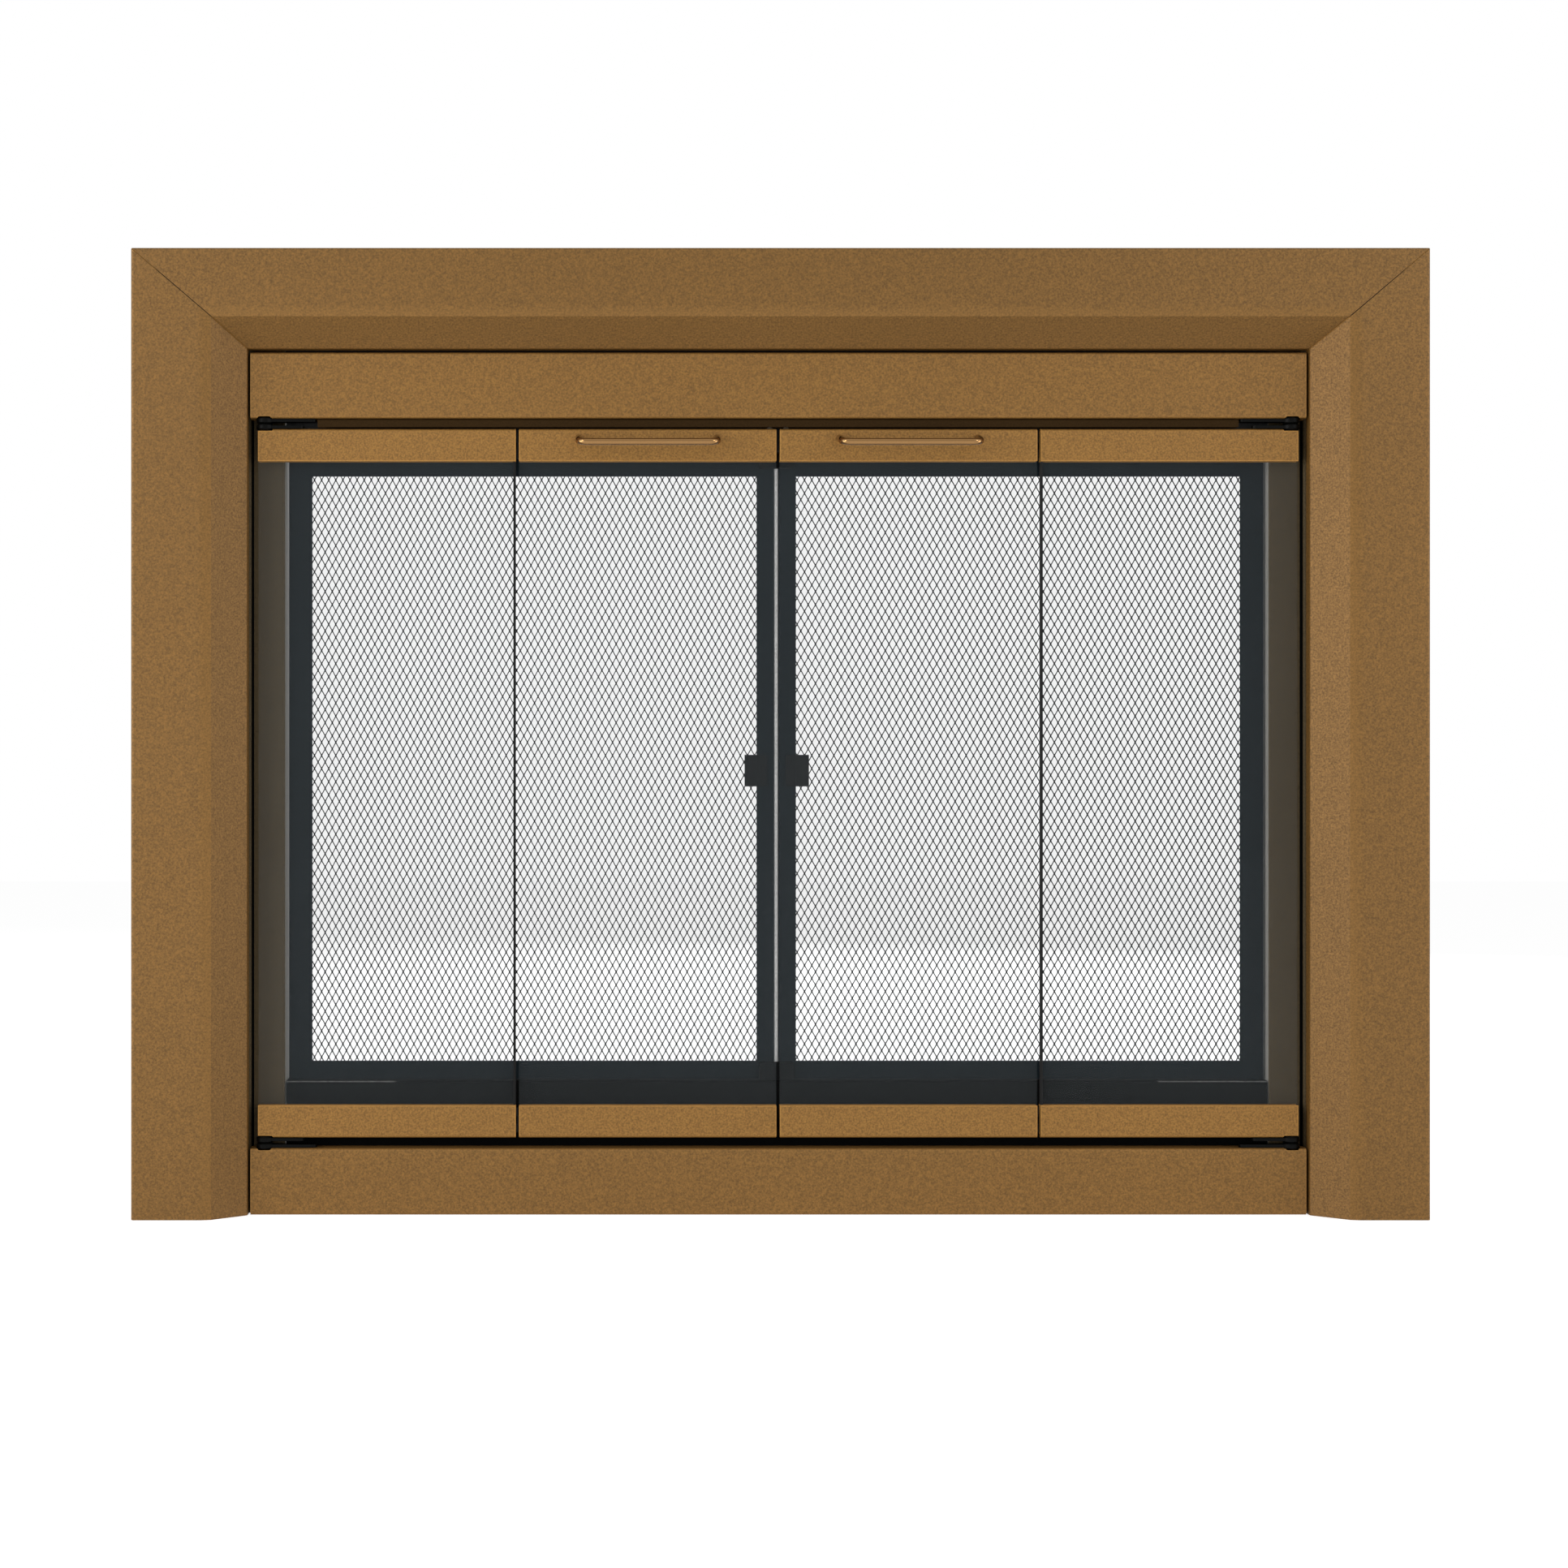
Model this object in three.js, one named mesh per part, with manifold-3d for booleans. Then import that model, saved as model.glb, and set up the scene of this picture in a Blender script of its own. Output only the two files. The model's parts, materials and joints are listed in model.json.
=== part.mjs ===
// Fireplace glass door: a folded steel surround with two folding pairs of glass panels and, behind them, two
// mesh gates. Millimetres, +Z up, front towards -Y. The origin is under the middle of the whole assembly.
import * as THREE from "three";
import { mergeVertices } from "three/addons/utils/BufferGeometryUtils.js";
import Module from "manifold-3d";

// ---- Driving dimensions ----------------------------------------------------------------------------------

// Surround. Depths are measured forward from the wall face, which is y = 0 until the whole part is centred.
const SURROUND_WIDTH = 1105;
const SURROUND_HEIGHT = 827;
const SURROUND_DEPTH = 38;
const SIDE_BAND = 68; // flat width of a side member, from its outer edge to the ridge
const SIDE_BEVEL = 28; // width of its bevel, seen from the front
const BEVEL_DEPTH = 25; // how far the bevel falls back
const TOP_WIDTH = 82.08; // whole width of the top member, with band and bevel in the sides' proportions
const RIDGE_RADIUS = 14; // inside radius of the soft bend between band and bevel
const BACK_FLANGE = 16; // flange that lies on the inner frame
const MITRE_GAP = 0.3;

// Sheet metal
const SHEET = 1.5;
const BEND_RADIUS = 1; // inside radius of an ordinary bend
const SEAT = 0.3; // gap between two pieces that rest on each other

// Header and bottom panel
const PANEL_SIDE_REVEAL = 2.2; // dark line between the surround and a panel's end
const HEADER_REVEAL = 2.5; // dark line between the surround and the header
const HEADER_HEIGHT = 56.8;
const BOTTOM_HEIGHT = 57.4;
const PANEL_SET_BACK = 2; // panel face behind the bevel's inner edge

// Folding glass doors
const DOOR_SET_BACK = 4; // rail face behind the bevel's inner edge
const DOOR_TOP_GAP = 8.8;
const DOOR_BOTTOM_GAP = 8.7;
const DOOR_SIDE_GAP = 8.5;
const FOLD_GAP = 2.6;
const CENTRE_GAP = 2.8;
const RAIL_HEIGHT = 28;
const RAIL_DEPTH = 9;
const GLASS_THICKNESS = 5;
const SEAL_LAP = 2.1; // edge seal of an outer pane, as wide as it shows on the glass
const SEAL_WALL = 0.6;

// Corner pivots. The guide pin has the same inset as the pivot, so that it runs straight along its track.
const PIVOT_INSET = 5.5; // axis to the panel's edge
const EYE_RADIUS = 7.3;
const EYE_HEIGHT = 5.2;
const EYE_CHAMFER = 1.1;
const PIVOT_PIN_RADIUS = 2;
const PIVOT_PIN_CLEARANCE = 0.2;
const ARM_WIDTH = 8;
const ARM_THICKNESS = 2.5;
const FRAME_ARM_REACH = 45;
const DOOR_ARM_REACH = 34;
const NOTCH_CLEARANCE = 0.8;

// Guide track and guide pin
const TRACK_SHEET = 1.2;
const TRACK_ABOVE_DOOR = 1.5;
const ROLLER_RADIUS = 2.6;
const ROLLER_CLEARANCE = 0.4;
const ROLLER_HEIGHT = 4.2;
const ROLLER_CHAMFER = 0.5;
const GUIDE_STEM_RADIUS = 1.5;
const GUIDE_FLANGE = 0.9;
const TRACK_END_GAP = 0.8;

// Fold hinges
const LEAF_HEIGHT = 21;
const LEAF_WIDTH = 24;
const LEAF_THICKNESS = 1.2;
const KNUCKLE_RADIUS = 2.5;
const HINGE_PIN_RADIUS = 1.2;
const HINGE_PIN_CLEARANCE = 0.2;

// Handles: a wire bow, its bar a little lower than its feet
const HANDLE_LENGTH = 125;
const HANDLE_WIRE_RADIUS = 3;
const HANDLE_STANDOFF = 24; // rail face to the bar's middle
const HANDLE_DROP = 6.3;
const HANDLE_BEND_RADIUS = 9;
const HANDLE_FOOT_BELOW_TOP = 8; // feet below the rail's top edge

// Inner frame behind the doors
const FRAME_FACE_DEPTH = 6; // its face behind the wall face
const FRAME_RETURN = 26; // depth of its returns and ledges
const JAMB_FACE = 29.2; // width of a jamb's face
const LINTEL_BELOW_DOOR_TOP = 18.8; // lintel ledge below the doors' top
const SILL_HEIGHT = 113.5;
const SILL_LIP = 8.5;
const HEADER_TO_STEP = 1; // lintel's step above the header

// Mesh gates
const GATE_SET_BACK = 8; // gate face behind the inner frame's face
const GATE_THICKNESS = 8;
const GATE_SIDE_GAP = 2;
const GATE_CENTRE_GAP = 4.2;
const GATE_SILL_GAP = 0.8;
const GATE_LINTEL_GAP = 1;
const HINGE_STILE = 20.2;
const LEAD_STILE = 15;
const GATE_TOP_RAIL = 18.7;
const GATE_BOTTOM_RAIL = 15.7;
const GATE_PIN_RADIUS = 3;
const GATE_PIN_CLEARANCE = 0.25;
const GATE_PIN_INSET = 6;
const GATE_PIN_INSIDE = 10; // length of the pin inside the gate's frame
const GATE_PIN_OUTSIDE = 5.5;
const NET_THICKNESS = 1;
const NET_STRAND = 2.2;
const NET_LAP = 7; // how far the net reaches behind the frame's face
const NET_COLUMNS = 9;
const NET_ROWS = 7;
const PULL_HEIGHT = 27.5;
const PULL_CENTRE = 382.4; // above the hearth
const PULL_FOOT = 9;
const PULL_REACH = 11;
const PULL_RISE = 5.5;

// Magnet catches of the gates, under the lintel's ledge and on the sill's ledge
const CATCH_WIDTH = 30;
const UPPER_CATCH_HEIGHT = 12.8;
const LOWER_CATCH_HEIGHT = 15.5;
const CATCH_DEPTH = 7;
const CATCH_CORNER = 1.5;

// Corner keys
const KEY_LEG = 95;
const KEY_WIDTH = 30;
const KEY_THICKNESS = 3;
const KEY_HOLE_RADIUS = 2.5;
const KEY_EDGE_GAP = 6; // key to the folded outer edge

// Lintel clamps and hearth brackets
const STRAP = 3;
const CLAMP_FROM_JAMB = 175.8; // its middle to the jamb's inner face
const CLAMP_WIDTH = 25;
const CLAMP_LEG = 60;
const CLAMP_ARM = 62;
const CLAMP_ABOVE_LEDGE = 8;
const BOLT_RADIUS = 4;
const BOLT_CLEARANCE = 0.3;
const BOLT_LENGTH = 62;
const BOLT_HEAD_WIDTH = 13;
const BOLT_HEAD_HEIGHT = 5;
const BOLT_PAD_RADIUS = 12;
const BOLT_PAD_HEIGHT = 4;
const BOLT_FROM_END = 14;
const BRACKET_FROM_JAMB = 95.8;
const BRACKET_WIDTH = 32;
const BRACKET_LEG = 40;
const BRACKET_FOOT = 67;
const BRACKET_SLOT = 16; // between the centres of the slot's round ends
const BRACKET_SLOT_RADIUS = 3.5;
const BRACKET_SLOT_FROM_END = 7; // metal beyond the slot

// Facets: steps of each kind of round
const BEND_STEPS = 4;
const RIDGE_STEPS = 8;
const ROUND_STEPS = 20;
const SMALL_ROUND_STEPS = 12;
const ARC_STEPS = 6;
const WIRE_STEPS = 40;

// ---- Places worked out from the dimensions ---------------------------------------------------------------

const halfWidth = SURROUND_WIDTH / 2;
const openingHalf = halfWidth - SIDE_BAND - SIDE_BEVEL;
const openingTop = SURROUND_HEIGHT - TOP_WIDTH;
const mitreSlope = TOP_WIDTH / (SIDE_BAND + SIDE_BEVEL);
const innerEdgeY = BEVEL_DEPTH - SURROUND_DEPTH;
const panelHalf = openingHalf - PANEL_SIDE_REVEAL;
const panelFaceY = innerEdgeY + PANEL_SET_BACK;
const headerTop = openingTop - HEADER_REVEAL;
const headerBottom = headerTop - HEADER_HEIGHT;

const frameFaceY = FRAME_FACE_DEPTH;
const frameBackY = frameFaceY + FRAME_RETURN;
const jambOuter = openingHalf - SHEET;
const jambInner = jambOuter - JAMB_FACE;

const doorBottom = BOTTOM_HEIGHT + DOOR_BOTTOM_GAP;
const doorTop = headerBottom - DOOR_TOP_GAP;
const doorFrontY = innerEdgeY + DOOR_SET_BACK;
const doorBackY = doorFrontY + RAIL_DEPTH;
const doorMiddleY = (doorFrontY + doorBackY) / 2;
const doorOuter = openingHalf - DOOR_SIDE_GAP;
const panelWidth = (doorOuter - FOLD_GAP - CENTRE_GAP / 2) / 2;
const innerPanelMiddle = CENTRE_GAP / 2 + panelWidth / 2;
const outerPanelMiddle = doorOuter - panelWidth / 2;
const foldX = CENTRE_GAP / 2 + panelWidth + FOLD_GAP / 2;
const foldY = doorBackY + SEAT + KNUCKLE_RADIUS;
const pivotX = doorOuter - PIVOT_INSET;
const guideX = CENTRE_GAP / 2 + PIVOT_INSET;
const topPivotZ = doorTop + DOOR_TOP_GAP / 2;
const bottomPivotZ = BOTTOM_HEIGHT + DOOR_BOTTOM_GAP / 2;

const trackWidth = 2 * (ROLLER_RADIUS + ROLLER_CLEARANCE + TRACK_SHEET);
const trackTop = headerBottom - SEAT;
const trackBottom = doorTop + TRACK_ABOVE_DOOR;
const trackHalf = pivotX - FRAME_ARM_REACH - TRACK_END_GAP;

const lintelZ = doorTop - LINTEL_BELOW_DOOR_TOP;
const lintelStepZ = headerTop + HEADER_TO_STEP;
const flangeTop = openingTop + BACK_FLANGE;
const clampX = jambInner - CLAMP_FROM_JAMB;
const bracketX = jambInner - BRACKET_FROM_JAMB;

const gateFrontY = frameFaceY + GATE_SET_BACK;
const gateOuter = jambInner - GATE_SIDE_GAP;
const gateBottom = SILL_HEIGHT + GATE_SILL_GAP;
const gateTop = lintelZ - GATE_LINTEL_GAP;
const gateLead = GATE_CENTRE_GAP / 2;
const gatePinX = gateOuter - GATE_PIN_INSET;
const gatePinY = gateFrontY + GATE_THICKNESS / 2;
const gateOpening = {
  left: gateLead + LEAD_STILE,
  right: gateOuter - HINGE_STILE,
  bottom: gateBottom + GATE_BOTTOM_RAIL,
  top: gateTop - GATE_TOP_RAIL,
};

// ---- Materials -------------------------------------------------------------------------------------------

const paint = (color, roughness, metalness) =>
  new THREE.MeshStandardMaterial({ color, roughness, metalness });
const bronze = paint(0x8b683c, 0.5, 0.6);
const shadedBronze = paint(0x4a3a26, 0.6, 0.4);
const polishedBronze = paint(0xa9824e, 0.28, 0.8);
const blackSteel = paint(0x1d1f21, 0.55, 0.5);
const gateBlack = paint(0x2b3034, 0.6, 0.3);
const bareSteel = paint(0x8f9296, 0.45, 0.9);
const nylon = paint(0xd8d4c8, 0.6, 0);
const sealGrey = paint(0x3c3c3c, 0.7, 0);
const clearGlass = new THREE.MeshStandardMaterial({
  color: 0xdfe8ea,
  roughness: 0.05,
  metalness: 0,
  transparent: true,
  opacity: 0.25,
});

// ---- Solids ----------------------------------------------------------------------------------------------

const wasm = await Module();
wasm.setup();

function solidOf(geometry) {
  const bare = geometry.index ? geometry.toNonIndexed() : geometry.clone();
  bare.deleteAttribute("normal");
  bare.deleteAttribute("uv");
  const merged = mergeVertices(bare, 1e-4);
  return new wasm.Manifold(
    new wasm.Mesh({
      numProp: 3,
      vertProperties: merged.attributes.position.array,
      triVerts: new Uint32Array(merged.index.array),
    }),
  );
}

function geometryOf(solid) {
  const { vertProperties, triVerts } = solid.getMesh();
  const geometry = new THREE.BufferGeometry();
  geometry.setAttribute("position", new THREE.BufferAttribute(vertProperties, 3));
  geometry.setIndex(new THREE.BufferAttribute(triVerts, 1));
  geometry.computeVertexNormals();
  return geometry;
}

// The geometries joined into one solid, less the cutters.
function combine(geometries, cutters = []) {
  let solid = solidOf(geometries[0]);
  for (const geometry of geometries.slice(1)) solid = solid.add(solidOf(geometry));
  for (const cutter of cutters) solid = solid.subtract(solidOf(cutter));
  return geometryOf(solid);
}

// ---- Profiles --------------------------------------------------------------------------------------------

// Points of the arc that rounds the corner b of the line a, b, c.
function roundedCorner(a, b, c, radius, steps) {
  const into = b.clone().sub(a).normalize();
  const out = c.clone().sub(b).normalize();
  const turn = Math.atan2(into.cross(out), into.dot(out));
  if (radius <= 0 || Math.abs(turn) < 1e-6) return [b.clone()];
  const tangent = radius * Math.tan(Math.abs(turn) / 2);
  const start = b.clone().addScaledVector(into, -tangent);
  const toCentre = new THREE.Vector2(-into.y, into.x).multiplyScalar(Math.sign(turn) * radius);
  const centre = start.clone().add(toCentre);
  return Array.from({ length: steps + 1 }, (_, i) =>
    start.clone().rotateAround(centre, (turn * i) / steps),
  );
}

// Outline of a folded sheet. The path runs along one face and the sheet lies on its left. Each path point is
// [u, v], with an inside bend radius and a count of steps where the bend isn't an ordinary one.
function foldedSheet(path, sheet = SHEET) {
  const face = path.map(([u, v]) => new THREE.Vector2(u, v));
  const last = face.length - 1;
  const normals = face.slice(1).map((point, i) => {
    const along = point.clone().sub(face[i]).normalize();
    return new THREE.Vector2(-along.y, along.x);
  });
  const back = face.map((point, i) => {
    const before = normals[Math.max(i - 1, 0)];
    const after = normals[Math.min(i, last - 1)];
    const reach = sheet / (1 + before.dot(after));
    return point.clone().addScaledVector(before.clone().add(after), reach);
  });
  const faceLine = [face[0]];
  const backLine = [back[0]];
  for (let i = 1; i < last; i++) {
    const [, , radius = BEND_RADIUS, steps = BEND_STEPS] = path[i];
    const leftTurn = normals[i - 1].cross(normals[i]) > 0;
    const faceRadius = leftTurn ? radius + sheet : radius;
    const backRadius = leftTurn ? radius : radius + sheet;
    faceLine.push(...roundedCorner(face[i - 1], face[i], face[i + 1], faceRadius, steps));
    backLine.push(...roundedCorner(back[i - 1], back[i], back[i + 1], backRadius, steps));
  }
  faceLine.push(face[last]);
  backLine.push(back[last]);
  return new THREE.Shape([...faceLine, ...backLine.reverse()]);
}

// Rectangle with rounded corners, from its two opposite corners.
function plate(left, bottom, right, top, radius = 0) {
  const shape = new THREE.Shape();
  if (!radius) {
    shape.setFromPoints([
      new THREE.Vector2(left, bottom),
      new THREE.Vector2(right, bottom),
      new THREE.Vector2(right, top),
      new THREE.Vector2(left, top),
    ]);
    return shape;
  }
  const quarter = Math.PI / 2;
  shape.absarc(right - radius, top - radius, radius, 0, quarter);
  shape.absarc(left + radius, top - radius, radius, quarter, 2 * quarter);
  shape.absarc(left + radius, bottom + radius, radius, 2 * quarter, 3 * quarter);
  shape.absarc(right - radius, bottom + radius, radius, 3 * quarter, 4 * quarter);
  return shape;
}

// ---- Extrusions and revolves -----------------------------------------------------------------------------

const X = new THREE.Vector3(1, 0, 0);
const Y = new THREE.Vector3(0, 1, 0);
const Z = new THREE.Vector3(0, 0, 1);

function extrude(shape, depth) {
  return new THREE.ExtrudeGeometry(shape, { depth, bevelEnabled: false, curveSegments: ARC_STEPS });
}

// Shape in x and y, extruded up from z = 0.
const upwards = (shape, height) => extrude(shape, height);

// Shape in y and z, extruded along x, with its middle at x = 0.
function acrossX(shape, length) {
  const toAxes = new THREE.Matrix4().makeBasis(Y, Z, X);
  return extrude(shape, length).translate(0, 0, -length / 2).applyMatrix4(toAxes);
}

// Shape in x and z, extruded back from y = 0.
function backwards(shape, depth) {
  const toAxes = new THREE.Matrix4().makeBasis(X, Z, Y.clone().negate());
  return extrude(shape, depth).applyMatrix4(toAxes).translate(0, depth, 0);
}

// Box from its lowest to its highest corner.
function block([x0, y0, z0], [x1, y1, z1]) {
  return new THREE.BoxGeometry(x1 - x0, y1 - y0, z1 - z0).translate(
    (x0 + x1) / 2,
    (y0 + y1) / 2,
    (z0 + z1) / 2,
  );
}

// Revolve about z of a profile of [radius, height] points, listed upwards along its outer side.
function revolve(profile, steps = ROUND_STEPS) {
  const points = profile.map(([radius, height]) => new THREE.Vector2(radius, height));
  return new THREE.LatheGeometry(points, steps).rotateX(Math.PI / 2);
}

const rod = (radius, bottom, top, steps = ROUND_STEPS) =>
  revolve([[0, bottom], [radius, bottom], [radius, top], [0, top]], steps);

function named(name, geometry, material, [x, y, z] = [0, 0, 0]) {
  const mesh = new THREE.Mesh(geometry, material);
  mesh.name = name;
  mesh.position.set(x, y, z);
  return mesh;
}

// ---- Surround --------------------------------------------------------------------------------------------

// Section of a surround member. u runs from the outer edge, at 0, towards the opening, where it is negative,
// and v is y. The top member's widths are the sides' times the mitre's slope, so that the mitres close.
function surroundSection(widthShare) {
  const ridge = -SIDE_BAND * widthShare;
  const inner = -(SIDE_BAND + SIDE_BEVEL) * widthShare;
  return foldedSheet([
    [inner + BACK_FLANGE, 0],
    [inner, 0],
    [inner, innerEdgeY],
    [ridge, -SURROUND_DEPTH, RIDGE_RADIUS, RIDGE_STEPS],
    [0, -SURROUND_DEPTH],
    [0, 0],
  ]);
}

// Wedge on one side of the right-hand mitre. A side of 1 lies towards the middle of the top, -1 below it.
function mitreCutter(side) {
  const corner = new THREE.Vector2(halfWidth, SURROUND_HEIGHT);
  const along = new THREE.Vector2(-1, -mitreSlope).normalize();
  const across = new THREE.Vector2(along.y, -along.x).multiplyScalar(side);
  const reach = SURROUND_WIDTH / 2;
  const start = corner.clone().addScaledVector(across, -MITRE_GAP / 2);
  const outerEnd = start.clone().addScaledVector(along, -reach / 2);
  const innerEnd = start.clone().addScaledVector(along, reach / 2);
  const wedge = new THREE.Shape([
    outerEnd,
    innerEnd,
    innerEnd.clone().addScaledVector(across, reach),
    outerEnd.clone().addScaledVector(across, reach),
  ]);
  const depth = 2 * SURROUND_DEPTH;
  return backwards(wedge, depth).translate(0, -(SURROUND_DEPTH + depth) / 2, 0);
}

function surroundSide() {
  const member = upwards(surroundSection(1), SURROUND_HEIGHT).translate(halfWidth, 0, 0);
  return combine([member], [mitreCutter(1)]);
}

function surroundTop() {
  const toAxes = new THREE.Matrix4().makeBasis(Z, Y, X.clone().negate());
  const member = extrude(surroundSection(mitreSlope), SURROUND_WIDTH)
    .translate(0, 0, -SURROUND_WIDTH / 2)
    .applyMatrix4(toAxes)
    .translate(0, 0, SURROUND_HEIGHT);
  const cutter = mitreCutter(-1);
  const mirrored = cutter.clone().rotateZ(Math.PI).translate(0, -SURROUND_DEPTH, 0);
  return combine([member], [cutter, mirrored]);
}

// L-shaped plate with four screw holes, behind the bands at a mitre.
function cornerKey() {
  const outer = halfWidth - SHEET - BEND_RADIUS - KEY_EDGE_GAP;
  const top = SURROUND_HEIGHT - SHEET - BEND_RADIUS - KEY_EDGE_GAP;
  const shape = new THREE.Shape([
    new THREE.Vector2(outer, top),
    new THREE.Vector2(outer - KEY_LEG, top),
    new THREE.Vector2(outer - KEY_LEG, top - KEY_WIDTH),
    new THREE.Vector2(outer - KEY_WIDTH, top - KEY_WIDTH),
    new THREE.Vector2(outer - KEY_WIDTH, top - KEY_LEG),
    new THREE.Vector2(outer, top - KEY_LEG),
  ]);
  const middle = KEY_WIDTH / 2;
  for (const far of [KEY_LEG - middle, KEY_LEG / 2]) {
    for (const [across, down] of [[far, middle], [middle, far]]) {
      const hole = new THREE.Path();
      hole.absarc(outer - across, top - down, KEY_HOLE_RADIUS, 0, 2 * Math.PI, true);
      shape.holes.push(hole);
    }
  }
  return backwards(shape, KEY_THICKNESS);
}

// ---- Header, bottom panel and inner frame ----------------------------------------------------------------

// Channel with its face forward and two lips that reach back to the inner frame.
function facePanel(bottom, top, cutters) {
  const lipY = frameFaceY - SEAT;
  const section = foldedSheet([
    [lipY, top],
    [panelFaceY, top],
    [panelFaceY, bottom],
    [lipY, bottom],
  ]);
  return combine([acrossX(section, 2 * panelHalf)], cutters);
}

// Round notches that clear the pivots' eyes, one on each side.
function pivotNotches(pivotZ, reach) {
  const radius = EYE_RADIUS + NOTCH_CLEARANCE;
  return [-1, 1].map((side) =>
    rod(radius, pivotZ - reach, pivotZ + reach).translate(side * pivotX, doorMiddleY, 0),
  );
}

const eyeReach = SEAT / 2 + EYE_HEIGHT; // from the middle of a door gap to an eye's far face
const notchReach = eyeReach + NOTCH_CLEARANCE;

const headerPanel = () => facePanel(headerBottom, headerTop, pivotNotches(topPivotZ, notchReach));
const bottomPanel = () => facePanel(0, BOTTOM_HEIGHT, pivotNotches(bottomPivotZ, notchReach));

// Jamb: return, face, step and the flange that lies behind the surround's back flange.
function jamb() {
  const section = foldedSheet([
    [jambInner, frameBackY],
    [jambInner, frameFaceY],
    [jambOuter, frameFaceY],
    [jambOuter, SEAT],
    [jambOuter + BACK_FLANGE, SEAT],
  ]);
  return upwards(section, flangeTop);
}

const gatePinHoles = (bottom, top) =>
  [-1, 1].map((side) =>
    rod(GATE_PIN_RADIUS + GATE_PIN_CLEARANCE, bottom, top).translate(side * gatePinX, gatePinY, 0),
  );

// Lintel rail: flange, step, face behind the header, and the ledge that holds the gates' upper pins.
function lintelRail() {
  const section = foldedSheet([
    [SEAT, flangeTop],
    [SEAT, lintelStepZ],
    [frameFaceY, lintelStepZ],
    [frameFaceY, lintelZ],
    [frameBackY, lintelZ],
  ]);
  const holes = gatePinHoles(lintelZ - SHEET, lintelZ + 2 * SHEET);
  return combine([acrossX(section, 2 * (jambInner - SEAT))], holes);
}

// Sill rail: foot on the hearth, face, ledge under the gates and a stiffening lip.
function sillRail() {
  const section = foldedSheet([
    [frameBackY, SILL_HEIGHT - SILL_LIP],
    [frameBackY, SILL_HEIGHT],
    [frameFaceY, SILL_HEIGHT],
    [frameFaceY, 0],
    [frameBackY, 0],
  ]);
  const holes = gatePinHoles(SILL_HEIGHT - 2 * SHEET, SILL_HEIGHT + SHEET);
  return combine([acrossX(section, 2 * (jambInner - SEAT))], holes);
}

// Channel that is open downwards, with its middle at y = 0 and its top at z = 0.
function downwardChannel(width, height, length, sheet) {
  const section = foldedSheet(
    [
      [width / 2, -height],
      [width / 2, 0],
      [-width / 2, 0],
      [-width / 2, -height],
    ],
    sheet,
  );
  return acrossX(section, length);
}

const topTrack = () =>
  downwardChannel(trackWidth, trackTop - trackBottom, 2 * trackHalf, TRACK_SHEET);

// ---- Corner pivots, in the frame of the right-hand pivot axis, with z = 0 in the middle of the door gap ---

// Round eye with chamfered rims, bored for the pin.
function eye(bottom, bore) {
  const top = bottom + EYE_HEIGHT;
  const flat = EYE_RADIUS - EYE_CHAMFER;
  return revolve([
    [bore, bottom],
    [flat, bottom],
    [EYE_RADIUS, bottom + EYE_CHAMFER],
    [EYE_RADIUS, top - EYE_CHAMFER],
    [flat, top],
    [bore, top],
    [bore, bottom],
  ]);
}

// Flat bar from the middle of the eye's wall towards the middle of the door, with a round end.
function pivotArm(reach, bottom) {
  const shape = new THREE.Shape();
  const half = ARM_WIDTH / 2;
  const start = -(PIVOT_PIN_RADIUS + EYE_RADIUS) / 2;
  shape.moveTo(start, -half);
  shape.lineTo(start, half);
  shape.lineTo(half - reach, half);
  shape.absarc(half - reach, 0, half, Math.PI / 2, 1.5 * Math.PI);
  return upwards(shape, ARM_THICKNESS).translate(0, 0, bottom);
}

// Bracket on the frame: its arm lies against the header or the bottom panel.
function framePivot(gap) {
  const bore = PIVOT_PIN_RADIUS + PIVOT_PIN_CLEARANCE;
  const armBottom = gap / 2 - SEAT - ARM_THICKNESS;
  return combine([eye(SEAT / 2, bore), pivotArm(FRAME_ARM_REACH, armBottom)]);
}

// Bracket on the door: its arm lies on the rail, and its pin turns in the frame bracket's eye.
function doorPivot(gap) {
  const pinTop = eyeReach - PIVOT_PIN_CLEARANCE;
  const pin = rod(PIVOT_PIN_RADIUS, -eyeReach, pinTop);
  return combine([
    eye(-eyeReach, PIVOT_PIN_RADIUS / 2),
    pivotArm(DOOR_ARM_REACH, SEAT - gap / 2),
    pin,
  ]);
}

// ---- Door panels -----------------------------------------------------------------------------------------

// Rail over a panel's edge, with its top at z = 0 and its middle at x = 0.
function rail(cutters = []) {
  const channel = downwardChannel(RAIL_DEPTH, RAIL_HEIGHT, panelWidth, SHEET);
  return combine([channel], cutters);
}

// Notch in the outer rail for the door bracket's eye.
function railNotch(gap) {
  const depth = notchReach - gap / 2;
  const x = pivotX - outerPanelMiddle;
  return rod(EYE_RADIUS + NOTCH_CLEARANCE, -depth, RAIL_DEPTH).translate(x, 0, 0);
}

// Pane with its front at y = 0, cut back by foldTrim on the side of the fold.
function glassPane(foldTrim) {
  const halfPane = panelWidth / 2;
  const edge = SHEET + SEAT;
  const pane = plate(foldTrim - halfPane, doorBottom + edge, halfPane, doorTop - edge);
  return backwards(pane, GLASS_THICKNESS);
}

// Seal that is pushed over an outer pane's edge beside the fold, between the rails.
function edgeSeal() {
  const edge = -panelWidth / 2;
  const front = -SEAT - SEAL_WALL;
  const back = GLASS_THICKNESS + SEAT + SEAL_WALL;
  const section = foldedSheet(
    [
      [edge + SEAL_LAP, back],
      [edge, back],
      [edge, front],
      [edge + SEAL_LAP, front],
    ],
    SEAL_WALL,
  );
  const bottom = doorBottom + RAIL_HEIGHT + SEAT;
  const top = doorTop - RAIL_HEIGHT - SEAT;
  return upwards(section, top - bottom).translate(0, 0, bottom);
}

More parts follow.
